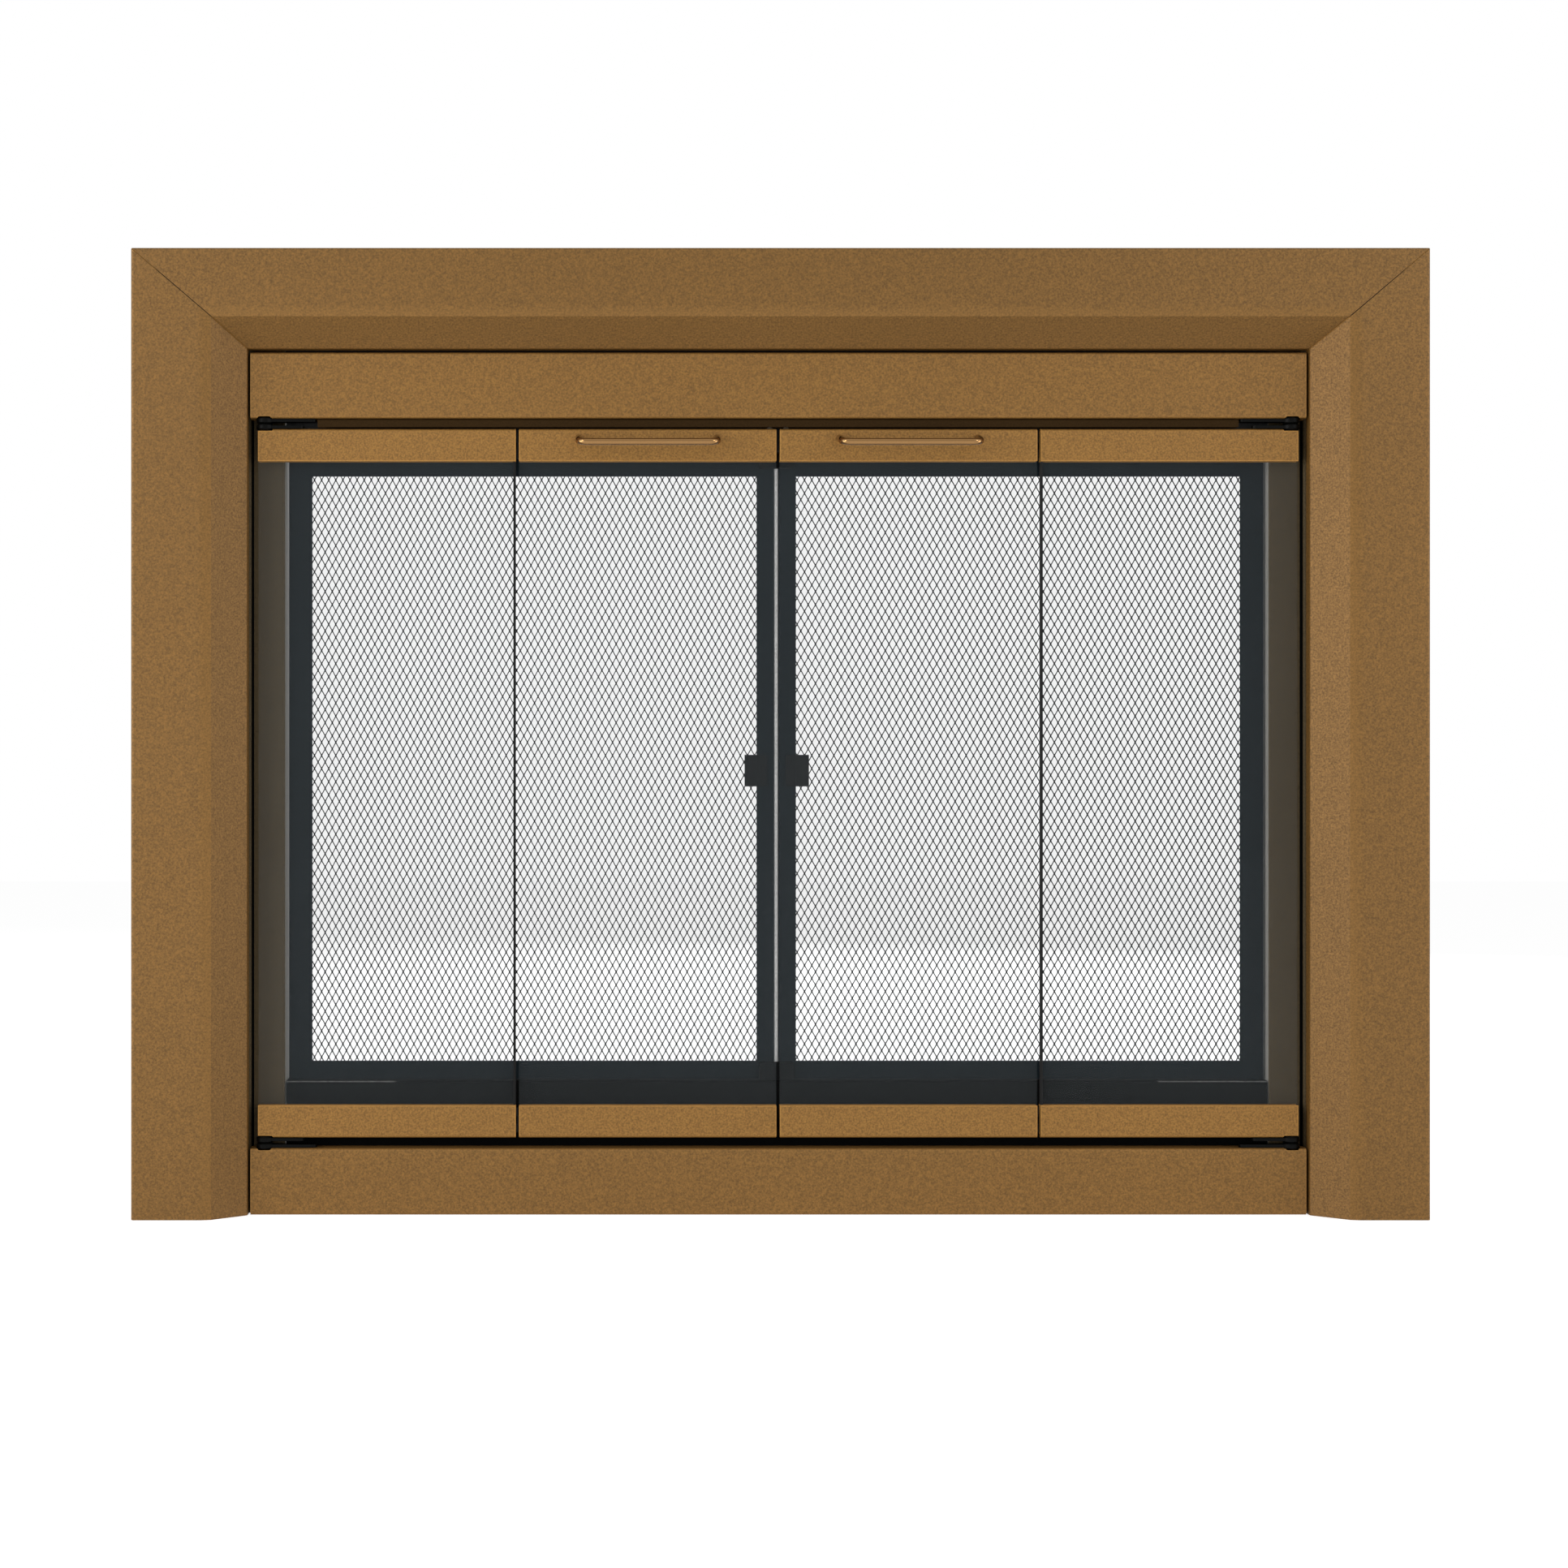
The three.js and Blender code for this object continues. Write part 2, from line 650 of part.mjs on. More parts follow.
// Fold hinge, about its pin's axis, with z = 0 in its middle. The outer leaf has the two end knuckles and the
// inner leaf the middle knuckle with the pin. side is 1 for the outer leaf and -1 for the inner one.
function hingeLeaf(side) {
  const halfHeight = LEAF_HEIGHT / 2;
  const knuckle = LEAF_HEIGHT / 3;
  const clear = KNUCKLE_RADIUS + SEAT;
  const plateFront = -KNUCKLE_RADIUS;
  const plateBack = plateFront + LEAF_THICKNESS;
  const slab = (near, far, bottom, top) =>
    block(
      [Math.min(side * near, side * far), plateFront, bottom],
      [Math.max(side * near, side * far), plateBack, top],
    );
  const ends = [
    [-halfHeight, (-knuckle - SEAT) / 2],
    [(knuckle + SEAT) / 2, halfHeight],
  ];
  const middle = [[(SEAT - knuckle) / 2, (knuckle - SEAT) / 2]];
  const spans = side > 0 ? ends : middle;
  const pieces = [slab(clear, LEAF_WIDTH, -halfHeight, halfHeight)];
  for (const [bottom, top] of spans) {
    pieces.push(slab(0, clear + SEAT, bottom, top));
    pieces.push(rod(KNUCKLE_RADIUS, bottom, top, SMALL_ROUND_STEPS));
  }
  if (side < 0) {
    pieces.push(rod(HINGE_PIN_RADIUS, -halfHeight, halfHeight, SMALL_ROUND_STEPS));
    return combine(pieces);
  }
  const bore = HINGE_PIN_RADIUS + HINGE_PIN_CLEARANCE;
  return combine(pieces, [rod(bore, -LEAF_HEIGHT, LEAF_HEIGHT, SMALL_ROUND_STEPS)]);
}

// Line along which the handle's wire runs, from its left foot to its right foot. The legs slope down to the
// bar, which lies lower than the feet, and each bend is a quadratic curve.
function handleLine() {
  const legX = HANDLE_LENGTH / 2 - HANDLE_WIRE_RADIUS;
  const straight = SEAT + HANDLE_WIRE_RADIUS;
  const foot = (side) => new THREE.Vector3(side * legX, -SEAT, 0);
  const legTop = (side) => new THREE.Vector3(side * legX, -straight, 0);
  const corner = (side) => new THREE.Vector3(side * legX, -HANDLE_STANDOFF, -HANDLE_DROP);
  const bendStart = (side) => {
    const backUpTheLeg = legTop(side).sub(corner(side)).setLength(HANDLE_BEND_RADIUS);
    return corner(side).add(backUpTheLeg);
  };
  const bendEnd = (side) => corner(side).add(new THREE.Vector3(-side * HANDLE_BEND_RADIUS, 0, 0));
  const line = new THREE.CurvePath();
  line.add(new THREE.QuadraticBezierCurve3(foot(-1), legTop(-1), bendStart(-1)));
  line.add(new THREE.QuadraticBezierCurve3(bendStart(-1), corner(-1), bendEnd(-1)));
  line.add(new THREE.LineCurve3(bendEnd(-1), bendEnd(1)));
  line.add(new THREE.QuadraticBezierCurve3(bendEnd(1), corner(1), bendStart(1)));
  line.add(new THREE.QuadraticBezierCurve3(bendStart(1), legTop(1), foot(1)));
  return line;
}

function handle() {
  const section = new THREE.Shape();
  section.absarc(0, 0, HANDLE_WIRE_RADIUS, 0, 2 * Math.PI);
  return new THREE.ExtrudeGeometry(section, {
    steps: WIRE_STEPS,
    curveSegments: ARC_STEPS,
    bevelEnabled: false,
    extrudePath: handleLine(),
  });
}

// Guide pin: a flange on the rail, a stem and a roller with chamfered rims. z = 0 is the door's top.
function guidePin() {
  const flangeTopZ = SEAT + GUIDE_FLANGE;
  const rollerTop = trackTop - TRACK_SHEET - ROLLER_CLEARANCE - doorTop;
  const rollerBottom = rollerTop - ROLLER_HEIGHT;
  const profile = [
    [0, SEAT],
    [ROLLER_RADIUS, SEAT],
    [ROLLER_RADIUS, flangeTopZ],
    [GUIDE_STEM_RADIUS, flangeTopZ],
    [GUIDE_STEM_RADIUS, rollerBottom],
    [ROLLER_RADIUS - ROLLER_CHAMFER, rollerBottom],
    [ROLLER_RADIUS, rollerBottom + ROLLER_CHAMFER],
    [ROLLER_RADIUS, rollerTop - ROLLER_CHAMFER],
    [ROLLER_RADIUS - ROLLER_CHAMFER, rollerTop],
    [0, rollerTop],
  ];
  return revolve(profile, SMALL_ROUND_STEPS);
}

// ---- Mesh gates ------------------------------------------------------------------------------------------

// Gate frame: a pressed ring, open at the back, with a hinge pin in its outer top and bottom corners.
function gateFrame() {
  const ring = plate(gateLead, gateBottom, gateOuter, gateTop);
  const window = plate(gateOpening.left, gateOpening.bottom, gateOpening.right, gateOpening.top);
  ring.holes.push(new THREE.Path(window.getPoints().reverse()));
  const pocket = plate(gateLead + SHEET, gateBottom + SHEET, gateOuter - SHEET, gateTop - SHEET);
  const hollow = backwards(pocket, GATE_THICKNESS).translate(0, SHEET, 0);
  const pins = [
    [gateBottom - GATE_PIN_OUTSIDE, gateBottom + GATE_PIN_INSIDE],
    [gateTop - GATE_PIN_INSIDE, gateTop + GATE_PIN_OUTSIDE],
  ].map(([bottom, top]) =>
    rod(GATE_PIN_RADIUS, bottom, top).translate(gatePinX, GATE_THICKNESS / 2, 0),
  );
  const shell = combine([backwards(ring, GATE_THICKNESS)], [hollow]);
  return combine([shell, ...pins]);
}

// Diamond net behind the frame's face. Its diamonds fill the window, and those on its edges are halved.
function gateNet() {
  const { left, right, bottom, top } = gateOpening;
  const columnPitch = (right - left) / NET_COLUMNS;
  const rowPitch = (top - bottom) / NET_ROWS;
  const slant = Math.hypot(columnPitch, rowPitch);
  const halfX = columnPitch / 2 - ((NET_STRAND / 2) * slant) / rowPitch;
  const halfZ = rowPitch / 2 - ((NET_STRAND / 2) * slant) / columnPitch;
  const diamonds = [];
  for (let row = 0; row <= 2 * NET_ROWS; row++) {
    for (let column = row % 2; column <= 2 * NET_COLUMNS; column += 2) {
      const x = left + (column * columnPitch) / 2;
      const z = bottom + (row * rowPitch) / 2;
      const tips = [[1, 0], [0, 1], [-1, 0], [0, -1]]
        .map(([u, v]) => new THREE.Vector2(x + u * halfX, z + v * halfZ))
        .filter((tip) => tip.x >= left - SEAT && tip.x <= right + SEAT)
        .filter((tip) => tip.y >= bottom - SEAT && tip.y <= top + SEAT);
      if (tips.length > 2) diamonds.push(backwards(new THREE.Shape(tips), 3 * NET_THICKNESS));
    }
  }
  const sheet = plate(left - NET_LAP, bottom - NET_LAP, right + NET_LAP, top + NET_LAP);
  return combine([backwards(sheet, NET_THICKNESS).translate(0, NET_THICKNESS, 0)], diamonds);
}

// Pull tab: a foot on the lead stile and a finger plate bent forward over the net.
function gatePull() {
  const foot = gateOpening.left;
  const section = foldedSheet([
    [foot + PULL_REACH, -SEAT - PULL_RISE],
    [foot, -SEAT],
    [foot - PULL_FOOT, -SEAT],
  ]);
  return upwards(section, PULL_HEIGHT).translate(0, 0, -PULL_HEIGHT / 2);
}

// ---- Fixings ---------------------------------------------------------------------------------------------

// Lintel clamp: a leg on the back of the lintel rail and an arm for the bolt, in y and z from the leg's foot.
function lintelClamp() {
  const section = foldedSheet(
    [
      [CLAMP_ARM, CLAMP_LEG],
      [0, CLAMP_LEG],
      [0, 0],
    ],
    STRAP,
  );
  const hole = rod(BOLT_RADIUS + BOLT_CLEARANCE, 0, CLAMP_LEG + STRAP);
  hole.translate(0, CLAMP_ARM - BOLT_FROM_END, 0);
  return combine([acrossX(section, CLAMP_WIDTH)], [hole]);
}

// Clamp bolt: hexagon head below, thread core, and the round pad that presses on the masonry. z = 0 is the
// head's upper face.
function clampBolt() {
  const corners = BOLT_HEAD_WIDTH / Math.sqrt(3); // radius over the hexagon's corners
  const head = new THREE.CylinderGeometry(corners, corners, BOLT_HEAD_HEIGHT, 6)
    .rotateX(Math.PI / 2)
    .translate(0, 0, -BOLT_HEAD_HEIGHT / 2);
  const padTop = BOLT_LENGTH + BOLT_PAD_HEIGHT;
  const shank = rod(BOLT_RADIUS, -BOLT_HEAD_HEIGHT / 2, (BOLT_LENGTH + padTop) / 2, SMALL_ROUND_STEPS);
  const pad = rod(BOLT_PAD_RADIUS, BOLT_LENGTH, padTop);
  return combine([head, shank, pad]);
}

// Hearth bracket: a leg on the back of the sill rail and a foot that steps down to the hearth, with a slot.
function hearthBracket() {
  const step = SHEET + SEAT;
  const section = foldedSheet(
    [
      [0, BRACKET_LEG],
      [0, step],
      [FRAME_RETURN, step],
      [FRAME_RETURN + 2 * step, 0],
      [BRACKET_FOOT, 0],
    ],
    STRAP,
  );
  const slotEnd = BRACKET_FOOT - BRACKET_SLOT_FROM_END - BRACKET_SLOT_RADIUS;
  const slot = new THREE.Shape();
  slot.absarc(0, slotEnd, BRACKET_SLOT_RADIUS, 0, Math.PI);
  slot.absarc(0, slotEnd - BRACKET_SLOT, BRACKET_SLOT_RADIUS, Math.PI, 2 * Math.PI);
  const cutter = upwards(slot, 3 * STRAP).translate(0, 0, -STRAP);
  return combine([acrossX(section, BRACKET_WIDTH)], [cutter]);
}

// ---- Assembly --------------------------------------------------------------------------------------------

const topPivotPlace = [pivotX, doorMiddleY, topPivotZ];
const bottomPivotPlace = [pivotX, doorMiddleY, bottomPivotZ];

// A piece that is turned upside down about its own place: the lower twin of an upper piece.
function upsideDown(mesh) {
  mesh.rotation.x = Math.PI;
  return mesh;
}

// The fixed pieces of one side, built for the right-hand side.
function fixedSide(side) {
  const group = new THREE.Group();
  const frameInnerY = frameFaceY + SHEET + SEAT;
  const clampZ = lintelZ + SHEET + CLAMP_ABOVE_LEDGE;
  const keyY = SHEET + SEAT - SURROUND_DEPTH;
  const boltY = frameInnerY + CLAMP_ARM - BOLT_FROM_END;
  const boltZ = clampZ + CLAMP_LEG - STRAP - SEAT;
  const topPivot = named(`frame_pivot_top_${side}`, framePivot(DOOR_TOP_GAP), blackSteel, topPivotPlace);
  const bottomPivot = named(
    `frame_pivot_bottom_${side}`,
    framePivot(DOOR_BOTTOM_GAP),
    blackSteel,
    bottomPivotPlace,
  );
  group.add(
    named(`surround_${side}`, surroundSide(), bronze),
    named(`corner_key_${side}`, cornerKey(), bareSteel, [0, keyY, 0]),
    named(`jamb_${side}`, jamb(), shadedBronze),
    topPivot,
    upsideDown(bottomPivot),
    named(`lintel_clamp_${side}`, lintelClamp(), bareSteel, [clampX, frameInnerY, clampZ]),
    named(`clamp_bolt_${side}`, clampBolt(), bareSteel, [clampX, boltY, boltZ]),
    named(`hearth_bracket_${side}`, hearthBracket(), bareSteel, [bracketX, frameInnerY, 0]),
  );
  return group;
}

const glassFrontY = doorMiddleY - GLASS_THICKNESS / 2;

// One panel's rails and glass, with the panel's middle at x.
function panelBody(name, x, topCutters, bottomCutters, foldTrim) {
  const group = new THREE.Group();
  const bottomRail = named(`${name}_bottom_rail`, rail(bottomCutters), bronze, [x, doorMiddleY, doorBottom]);
  group.add(
    named(`${name}_top_rail`, rail(topCutters), bronze, [x, doorMiddleY, doorTop]),
    upsideDown(bottomRail),
    named(`${name}_glass`, glassPane(foldTrim), clearGlass, [x, glassFrontY, 0]),
  );
  return group;
}

function outerPanel(side) {
  const name = `${side}_outer`;
  const topNotch = railNotch(DOOR_TOP_GAP);
  const bottomNotch = railNotch(DOOR_BOTTOM_GAP);
  const topPivot = named(`${name}_pivot_top`, doorPivot(DOOR_TOP_GAP), blackSteel, topPivotPlace);
  const bottomPivot = named(
    `${name}_pivot_bottom`,
    doorPivot(DOOR_BOTTOM_GAP),
    blackSteel,
    bottomPivotPlace,
  );
  const group = panelBody(name, outerPanelMiddle, [topNotch], [bottomNotch], SEAL_WALL + SEAT);
  group.add(
    topPivot,
    upsideDown(bottomPivot),
    named(`${name}_edge_seal`, edgeSeal(), sealGrey, [outerPanelMiddle, glassFrontY, 0]),
  );
  return group;
}

function innerPanel(side) {
  const name = `${side}_inner`;
  const group = panelBody(name, innerPanelMiddle, [], [], 0);
  const footZ = doorTop - HANDLE_FOOT_BELOW_TOP;
  group.add(
    named(`${name}_handle`, handle(), polishedBronze, [innerPanelMiddle, doorFrontY, footZ]),
    named(`${name}_guide_pin`, guidePin(), nylon, [guideX, doorMiddleY, doorTop]),
  );
  return group;
}

// The fold hinges of one side, at the middle heights of the top and bottom rails.
function foldHinges(side) {
  const group = new THREE.Group();
  const places = { top: doorTop - RAIL_HEIGHT / 2, bottom: doorBottom + RAIL_HEIGHT / 2 };
  for (const [place, z] of Object.entries(places)) {
    group.add(
      named(`${side}_outer_hinge_${place}`, hingeLeaf(1), blackSteel, [foldX, foldY, z]),
      named(`${side}_inner_hinge_${place}`, hingeLeaf(-1), blackSteel, [foldX, foldY, z]),
    );
  }
  return group;
}

function gate(side) {
  const group = new THREE.Group();
  const netY = gateFrontY + SHEET + SEAT - NET_THICKNESS;
  group.add(
    named(`${side}_gate_frame`, gateFrame(), gateBlack, [0, gateFrontY, 0]),
    named(`${side}_gate_net`, gateNet(), gateBlack, [0, netY, 0]),
    named(`${side}_gate_pull`, gatePull(), gateBlack, [0, gateFrontY, PULL_CENTRE]),
  );
  return group;
}

// Magnet catch with its foot at z = 0. The gates' lead stiles rest on its back.
function magnetCatch(height) {
  const half = CATCH_WIDTH / 2;
  return backwards(plate(-half, 0, half, height, CATCH_CORNER), CATCH_DEPTH);
}

const door = new THREE.Group();
door.name = "fireplace_glass_door";
const catchY = gateFrontY - SEAT - CATCH_DEPTH;
const upperCatchZ = lintelZ - SEAT - UPPER_CATCH_HEIGHT;
const lowerCatchZ = SILL_HEIGHT + SEAT;
door.add(
  named("surround_top", surroundTop(), bronze),
  named("header_panel", headerPanel(), bronze),
  named("bottom_panel", bottomPanel(), bronze),
  named("lintel_rail", lintelRail(), blackSteel),
  named("sill_rail", sillRail(), blackSteel),
  named("top_track", topTrack(), shadedBronze, [0, doorMiddleY, trackTop]),
  named("magnet_catch", magnetCatch(UPPER_CATCH_HEIGHT), blackSteel, [0, catchY, upperCatchZ]),
  named("lower_magnet_catch", magnetCatch(LOWER_CATCH_HEIGHT), blackSteel, [0, catchY, lowerCatchZ]),
);
for (const [side, mirror] of [["left", -1], ["right", 1]]) {
  const half = new THREE.Group();
  half.scale.x = mirror;
  half.add(fixedSide(side), outerPanel(side), innerPanel(side), foldHinges(side), gate(side));
  door.add(half);
}

// The origin goes under the middle of the part's depth.
const backY = frameFaceY + SHEET + SEAT + BRACKET_FOOT;
door.position.y = (SURROUND_DEPTH - backY) / 2;

export default door;
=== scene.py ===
# Looks of the fireplace glass door: finishes, creased surround members, fine gate mesh, smooth handles,
# seals, fasteners, studio and camera. Metres, +Z up, front towards -Y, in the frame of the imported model.
import json
import math

import bmesh
import bpy
from mathutils import Matrix, Vector


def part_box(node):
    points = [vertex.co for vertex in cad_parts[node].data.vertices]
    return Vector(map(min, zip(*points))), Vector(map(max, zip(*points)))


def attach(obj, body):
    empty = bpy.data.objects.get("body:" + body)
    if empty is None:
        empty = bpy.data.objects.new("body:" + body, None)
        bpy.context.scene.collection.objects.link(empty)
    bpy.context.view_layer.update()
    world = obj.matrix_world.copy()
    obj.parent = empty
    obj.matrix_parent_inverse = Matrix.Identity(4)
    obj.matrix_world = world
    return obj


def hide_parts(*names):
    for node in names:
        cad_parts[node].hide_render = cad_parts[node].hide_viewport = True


MM = 0.001
MIRROR = {"left": -1, "right": 1}

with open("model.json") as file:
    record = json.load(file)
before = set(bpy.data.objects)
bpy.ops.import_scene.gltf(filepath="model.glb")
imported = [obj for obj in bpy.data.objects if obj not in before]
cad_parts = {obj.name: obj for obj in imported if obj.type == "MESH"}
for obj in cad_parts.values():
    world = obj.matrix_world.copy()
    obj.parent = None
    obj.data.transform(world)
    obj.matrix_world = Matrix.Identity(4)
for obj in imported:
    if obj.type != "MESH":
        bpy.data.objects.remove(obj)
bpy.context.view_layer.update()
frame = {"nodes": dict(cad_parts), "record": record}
scene = bpy.context.scene

# ---- Camera ----------------------------------------------------------------------------------------------

CAMERA_PLACE = (-0.165, -2.2564, 0.378)
CAMERA_LENS = 59.43  # millimetres, as is the sensor's width
SENSOR_WIDTH = 36.0
CAMERA_SHIFT = (0.1259, -0.0053)


def make_camera():
    data = bpy.data.cameras.new("camera")
    data.sensor_width = SENSOR_WIDTH
    data.lens = CAMERA_LENS
    data.shift_x, data.shift_y = CAMERA_SHIFT
    camera = bpy.data.objects.new("camera", data)
    camera.location = CAMERA_PLACE
    camera.rotation_euler = (math.pi / 2, 0.0, 0.0)
    scene.collection.objects.link(camera)
    scene.camera = camera


# ---- Shader nodes ----------------------------------------------------------------------------------------

NOISE_RANGE = (0.3, 0.7)  # where most of a noise texture's values lie


def feed(tree, socket, value):
    """Gives a socket its value, which is another node's output, a number or a colour."""
    if isinstance(value, bpy.types.NodeSocket):
        tree.links.new(value, socket)
    else:
        socket.default_value = value


def math_node(tree, operation, *values):
    node = tree.nodes.new("ShaderNodeMath")
    node.operation = operation
    for socket, value in zip(node.inputs, values):
        feed(tree, socket, value)
    return node.outputs[0]


def map_range(tree, value, from_low, from_high, to_low=0.0, to_high=1.0):
    """The value's range spread over another one, and held at its ends."""
    node = tree.nodes.new("ShaderNodeMapRange")
    ends = {"From Min": from_low, "From Max": from_high, "To Min": to_low, "To Max": to_high}
    for name, end in ends.items():
        node.inputs[name].default_value = end
    tree.links.new(value, node.inputs["Value"])
    return node.outputs["Result"]


def mixed(tree, share, first, second):
    """The first colour at a share of 0, the second one at 1."""
    mix = tree.nodes.new("ShaderNodeMix")
    mix.data_type = "RGBA"
    for name, value in (("Factor", share), ("A", first), ("B", second)):
        feed(tree, mix.inputs[name], value)
    return mix.outputs["Result"]


def noise(tree, scale, detail=2.0, roughness=0.5):
    place = tree.nodes.new("ShaderNodeTexCoord")
    texture = tree.nodes.new("ShaderNodeTexNoise")
    texture.inputs["Scale"].default_value = scale
    texture.inputs["Detail"].default_value = detail
    texture.inputs["Roughness"].default_value = roughness
    tree.links.new(place.outputs["Object"], texture.inputs["Vector"])
    return texture.outputs["Fac"]


def remapped(tree, value, low, high):
    """A noise's middle range, spread from low to high."""
    return map_range(tree, value, *NOISE_RANGE, low, high)


def coordinate(tree, axis):
    """The object's own X, Y or Z. Objects sit at the origin, so it is the place in the model."""
    place = tree.nodes.new("ShaderNodeTexCoord")
    split = tree.nodes.new("ShaderNodeSeparateXYZ")
    tree.links.new(place.outputs["Object"], split.inputs["Vector"])
    return split.outputs[axis]


def from_middle(tree, axis="X"):
    """Distance from the plane where the axis is 0, which for X is the door's middle."""
    return math_node(tree, "ABSOLUTE", coordinate(tree, axis))


def new_material(name):
    """A material, with its node tree and its shader."""
    material = bpy.data.materials.new(name)
    material.use_nodes = True
    return material, material.node_tree, material.node_tree.nodes["Principled BSDF"]


def mix_over(material, share, colour):
    """Mixes a colour over the material's own one, by a share of 0 to 1."""
    tree = material.node_tree
    base = tree.nodes["Principled BSDF"].inputs["Base Color"]
    tree.links.new(mixed(tree, share, base.links[0].from_socket, colour), base)


# ---- Studio ----------------------------------------------------------------------------------------------

AMBIENT = 0.25  # world strength for the rays that light the object
FLOOR_SIZE = 14.0
FLOOR_ALBEDO = 0.8
FLOOR_GLOW = 0.78  # light of the floor's own, for the rays that see it
LAMP_TARGET = (0.0, 0.0, 0.4)


def seen_rays(tree):
    """Output that is 1 for camera, glossy and transmission rays, and 0 for the others."""
    rays = tree.nodes.new("ShaderNodeLightPath").outputs
    first = math_node(tree, "MAXIMUM", rays["Is Camera Ray"], rays["Is Glossy Ray"])
    return math_node(tree, "MAXIMUM", first, rays["Is Transmission Ray"])


def make_world():
    world = bpy.data.worlds.new("studio")
    world.use_nodes = True
    scene.world = world
    tree = world.node_tree
    background = tree.nodes["Background"]
    background.inputs["Color"].default_value = (1.0, 1.0, 1.0, 1.0)
    strength = math_node(tree, "MULTIPLY_ADD", seen_rays(tree), 1.0 - AMBIENT, AMBIENT)
    tree.links.new(strength, background.inputs["Strength"])


def make_floor():
    half = FLOOR_SIZE / 2
    corners = [(-half, -half, 0.0), (half, -half, 0.0), (half, half, 0.0), (-half, half, 0.0)]
    mesh = bpy.data.meshes.new("floor")
    mesh.from_pydata(corners, [], [(0, 1, 2, 3)])
    material, tree, shader = new_material("floor_white")
    tree.nodes.remove(shader)
    matt = tree.nodes.new("ShaderNodeBsdfDiffuse")
    matt.inputs["Color"].default_value = (FLOOR_ALBEDO, FLOOR_ALBEDO, FLOOR_ALBEDO, 1.0)
    glow = tree.nodes.new("ShaderNodeEmission")
    tree.links.new(math_node(tree, "MULTIPLY", seen_rays(tree), FLOOR_GLOW), glow.inputs["Strength"])
    both = tree.nodes.new("ShaderNodeAddShader")
    tree.links.new(matt.outputs[0], both.inputs[0])
    tree.links.new(glow.outputs[0], both.inputs[1])
    tree.links.new(both.outputs[0], tree.nodes["Material Output"].inputs["Surface"])
    mesh.materials.append(material)
    floor = bpy.data.objects.new("floor", mesh)
    scene.collection.objects.link(floor)


def area_light(name, place, size, power, target=LAMP_TARGET, lights_matt=True):
    """Lamp of a width and a height, aimed at the target. One that doesn't light matt surfaces only glints."""
    data = bpy.data.lights.new(name, "AREA")
    data.shape = "RECTANGLE"
    data.size, data.size_y = size
    data.energy = power
    lamp = bpy.data.objects.new(name, data)
    lamp.visible_diffuse = lights_matt
    lamp.location = place
    lamp.rotation_euler = (Vector(target) - Vector(place)).to_track_quat("-Z", "Y").to_euler()
    scene.collection.objects.link(lamp)


def make_lights():
    area_light("key", place=(-2.6, -1.5, 0.6), size=(1.6, 1.6), power=44.0)
    area_light("side", place=(2.4, -1.0, 0.6), size=(1.2, 1.2), power=15.5)
    area_light("floor_bounce", place=(0.0, -1.3, 0.05), size=(2.0, 0.5), power=4.5, target=(0.0, 0.0, 0.9))
    for side, mirror in MIRROR.items():
        place = (mirror * 1.5, -1.5, 1.6)
        area_light(f"glint_{side}", place, size=(0.35, 0.35), power=7.0, lights_matt=False)
    area_light("back", place=(0.9, 2.8, 1.6), size=(2.0, 2.0), power=24.0)


# ---- Sizes that the finishes and the pieces share --------------------------------------------------------

SHEET = 1.5 * MM
SIDE_LOW, SIDE_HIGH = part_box("surround_right")
TOP_LOW, TOP_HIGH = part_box("surround_top")
SIDE_WIDTH = SIDE_HIGH.x - SIDE_LOW.x
TOP_WIDTH = TOP_HIGH.z - TOP_LOW.z
MITRE_SLOPE = TOP_WIDTH / SIDE_WIDTH
BAND_SHARE = 68 / 96  # share of a member's width that its band takes, from the outer edge to the crease
CURVED_SHARE = 12 / 96  # share of its width over which the band curves towards the crease

# ---- Finishes --------------------------------------------------------------------------------------------


def linear(level):
    share = level / 255.0
    return share / 12.92 if share <= 0.04045 else ((share + 0.055) / 1.055) ** 2.4


def tone(red, green, blue):
    """Linear colour with alpha, from display levels of 0 to 255."""
    return (linear(red), linear(green), linear(blue), 1.0)


def scaled(colour, factor):
    return tuple(min(channel * factor, 1.0) for channel in colour[:3]) + (1.0,)


GRAIN = 1.5 * MM
FINE_GRAIN = 0.8 * MM
GRAIN_HEIGHT = 0.1  # share of the grain's size
ROUGH_SWING = 0.06
CLOUD_SCALE = 5.0  # broad patches in a metre


def grained(name, colour, roughness, swing, bump, metallic=0.0, grain=GRAIN, specular=0.5, cloud=0.03):
    """Finish with a grain. The swing is the grain's share of the colour, the cloud that of broad patches."""
    material, tree, shader = new_material(name)
    shader.inputs["Metallic"].default_value = metallic
    shader.inputs["Specular IOR Level"].default_value = specular
    fine = noise(tree, 1.0 / grain, detail=3.0, roughness=0.6)
    broad = noise(tree, CLOUD_SCALE)
    dark, light = scaled(colour, 1.0 - swing), scaled(colour, 1.0 + swing)
    shade = tree.nodes.new("ShaderNodeHueSaturation")
    tree.links.new(mixed(tree, remapped(tree, fine, 0.0, 1.0), dark, light), shade.inputs["Color"])
    tree.links.new(remapped(tree, broad, 1.0 - cloud, 1.0 + cloud), shade.inputs["Value"])
    tree.links.new(shade.outputs["Color"], shader.inputs["Base Color"])
    rough = remapped(tree, fine, roughness + ROUGH_SWING, roughness - ROUGH_SWING)
    tree.links.new(rough, shader.inputs["Roughness"])
    relief = tree.nodes.new("ShaderNodeBump")
    relief.inputs["Strength"].default_value = bump
    relief.inputs["Distance"].default_value = grain * GRAIN_HEIGHT
    tree.links.new(fine, relief.inputs["Height"])
    tree.links.new(relief.outputs["Normal"], shader.inputs["Normal"])
    return material


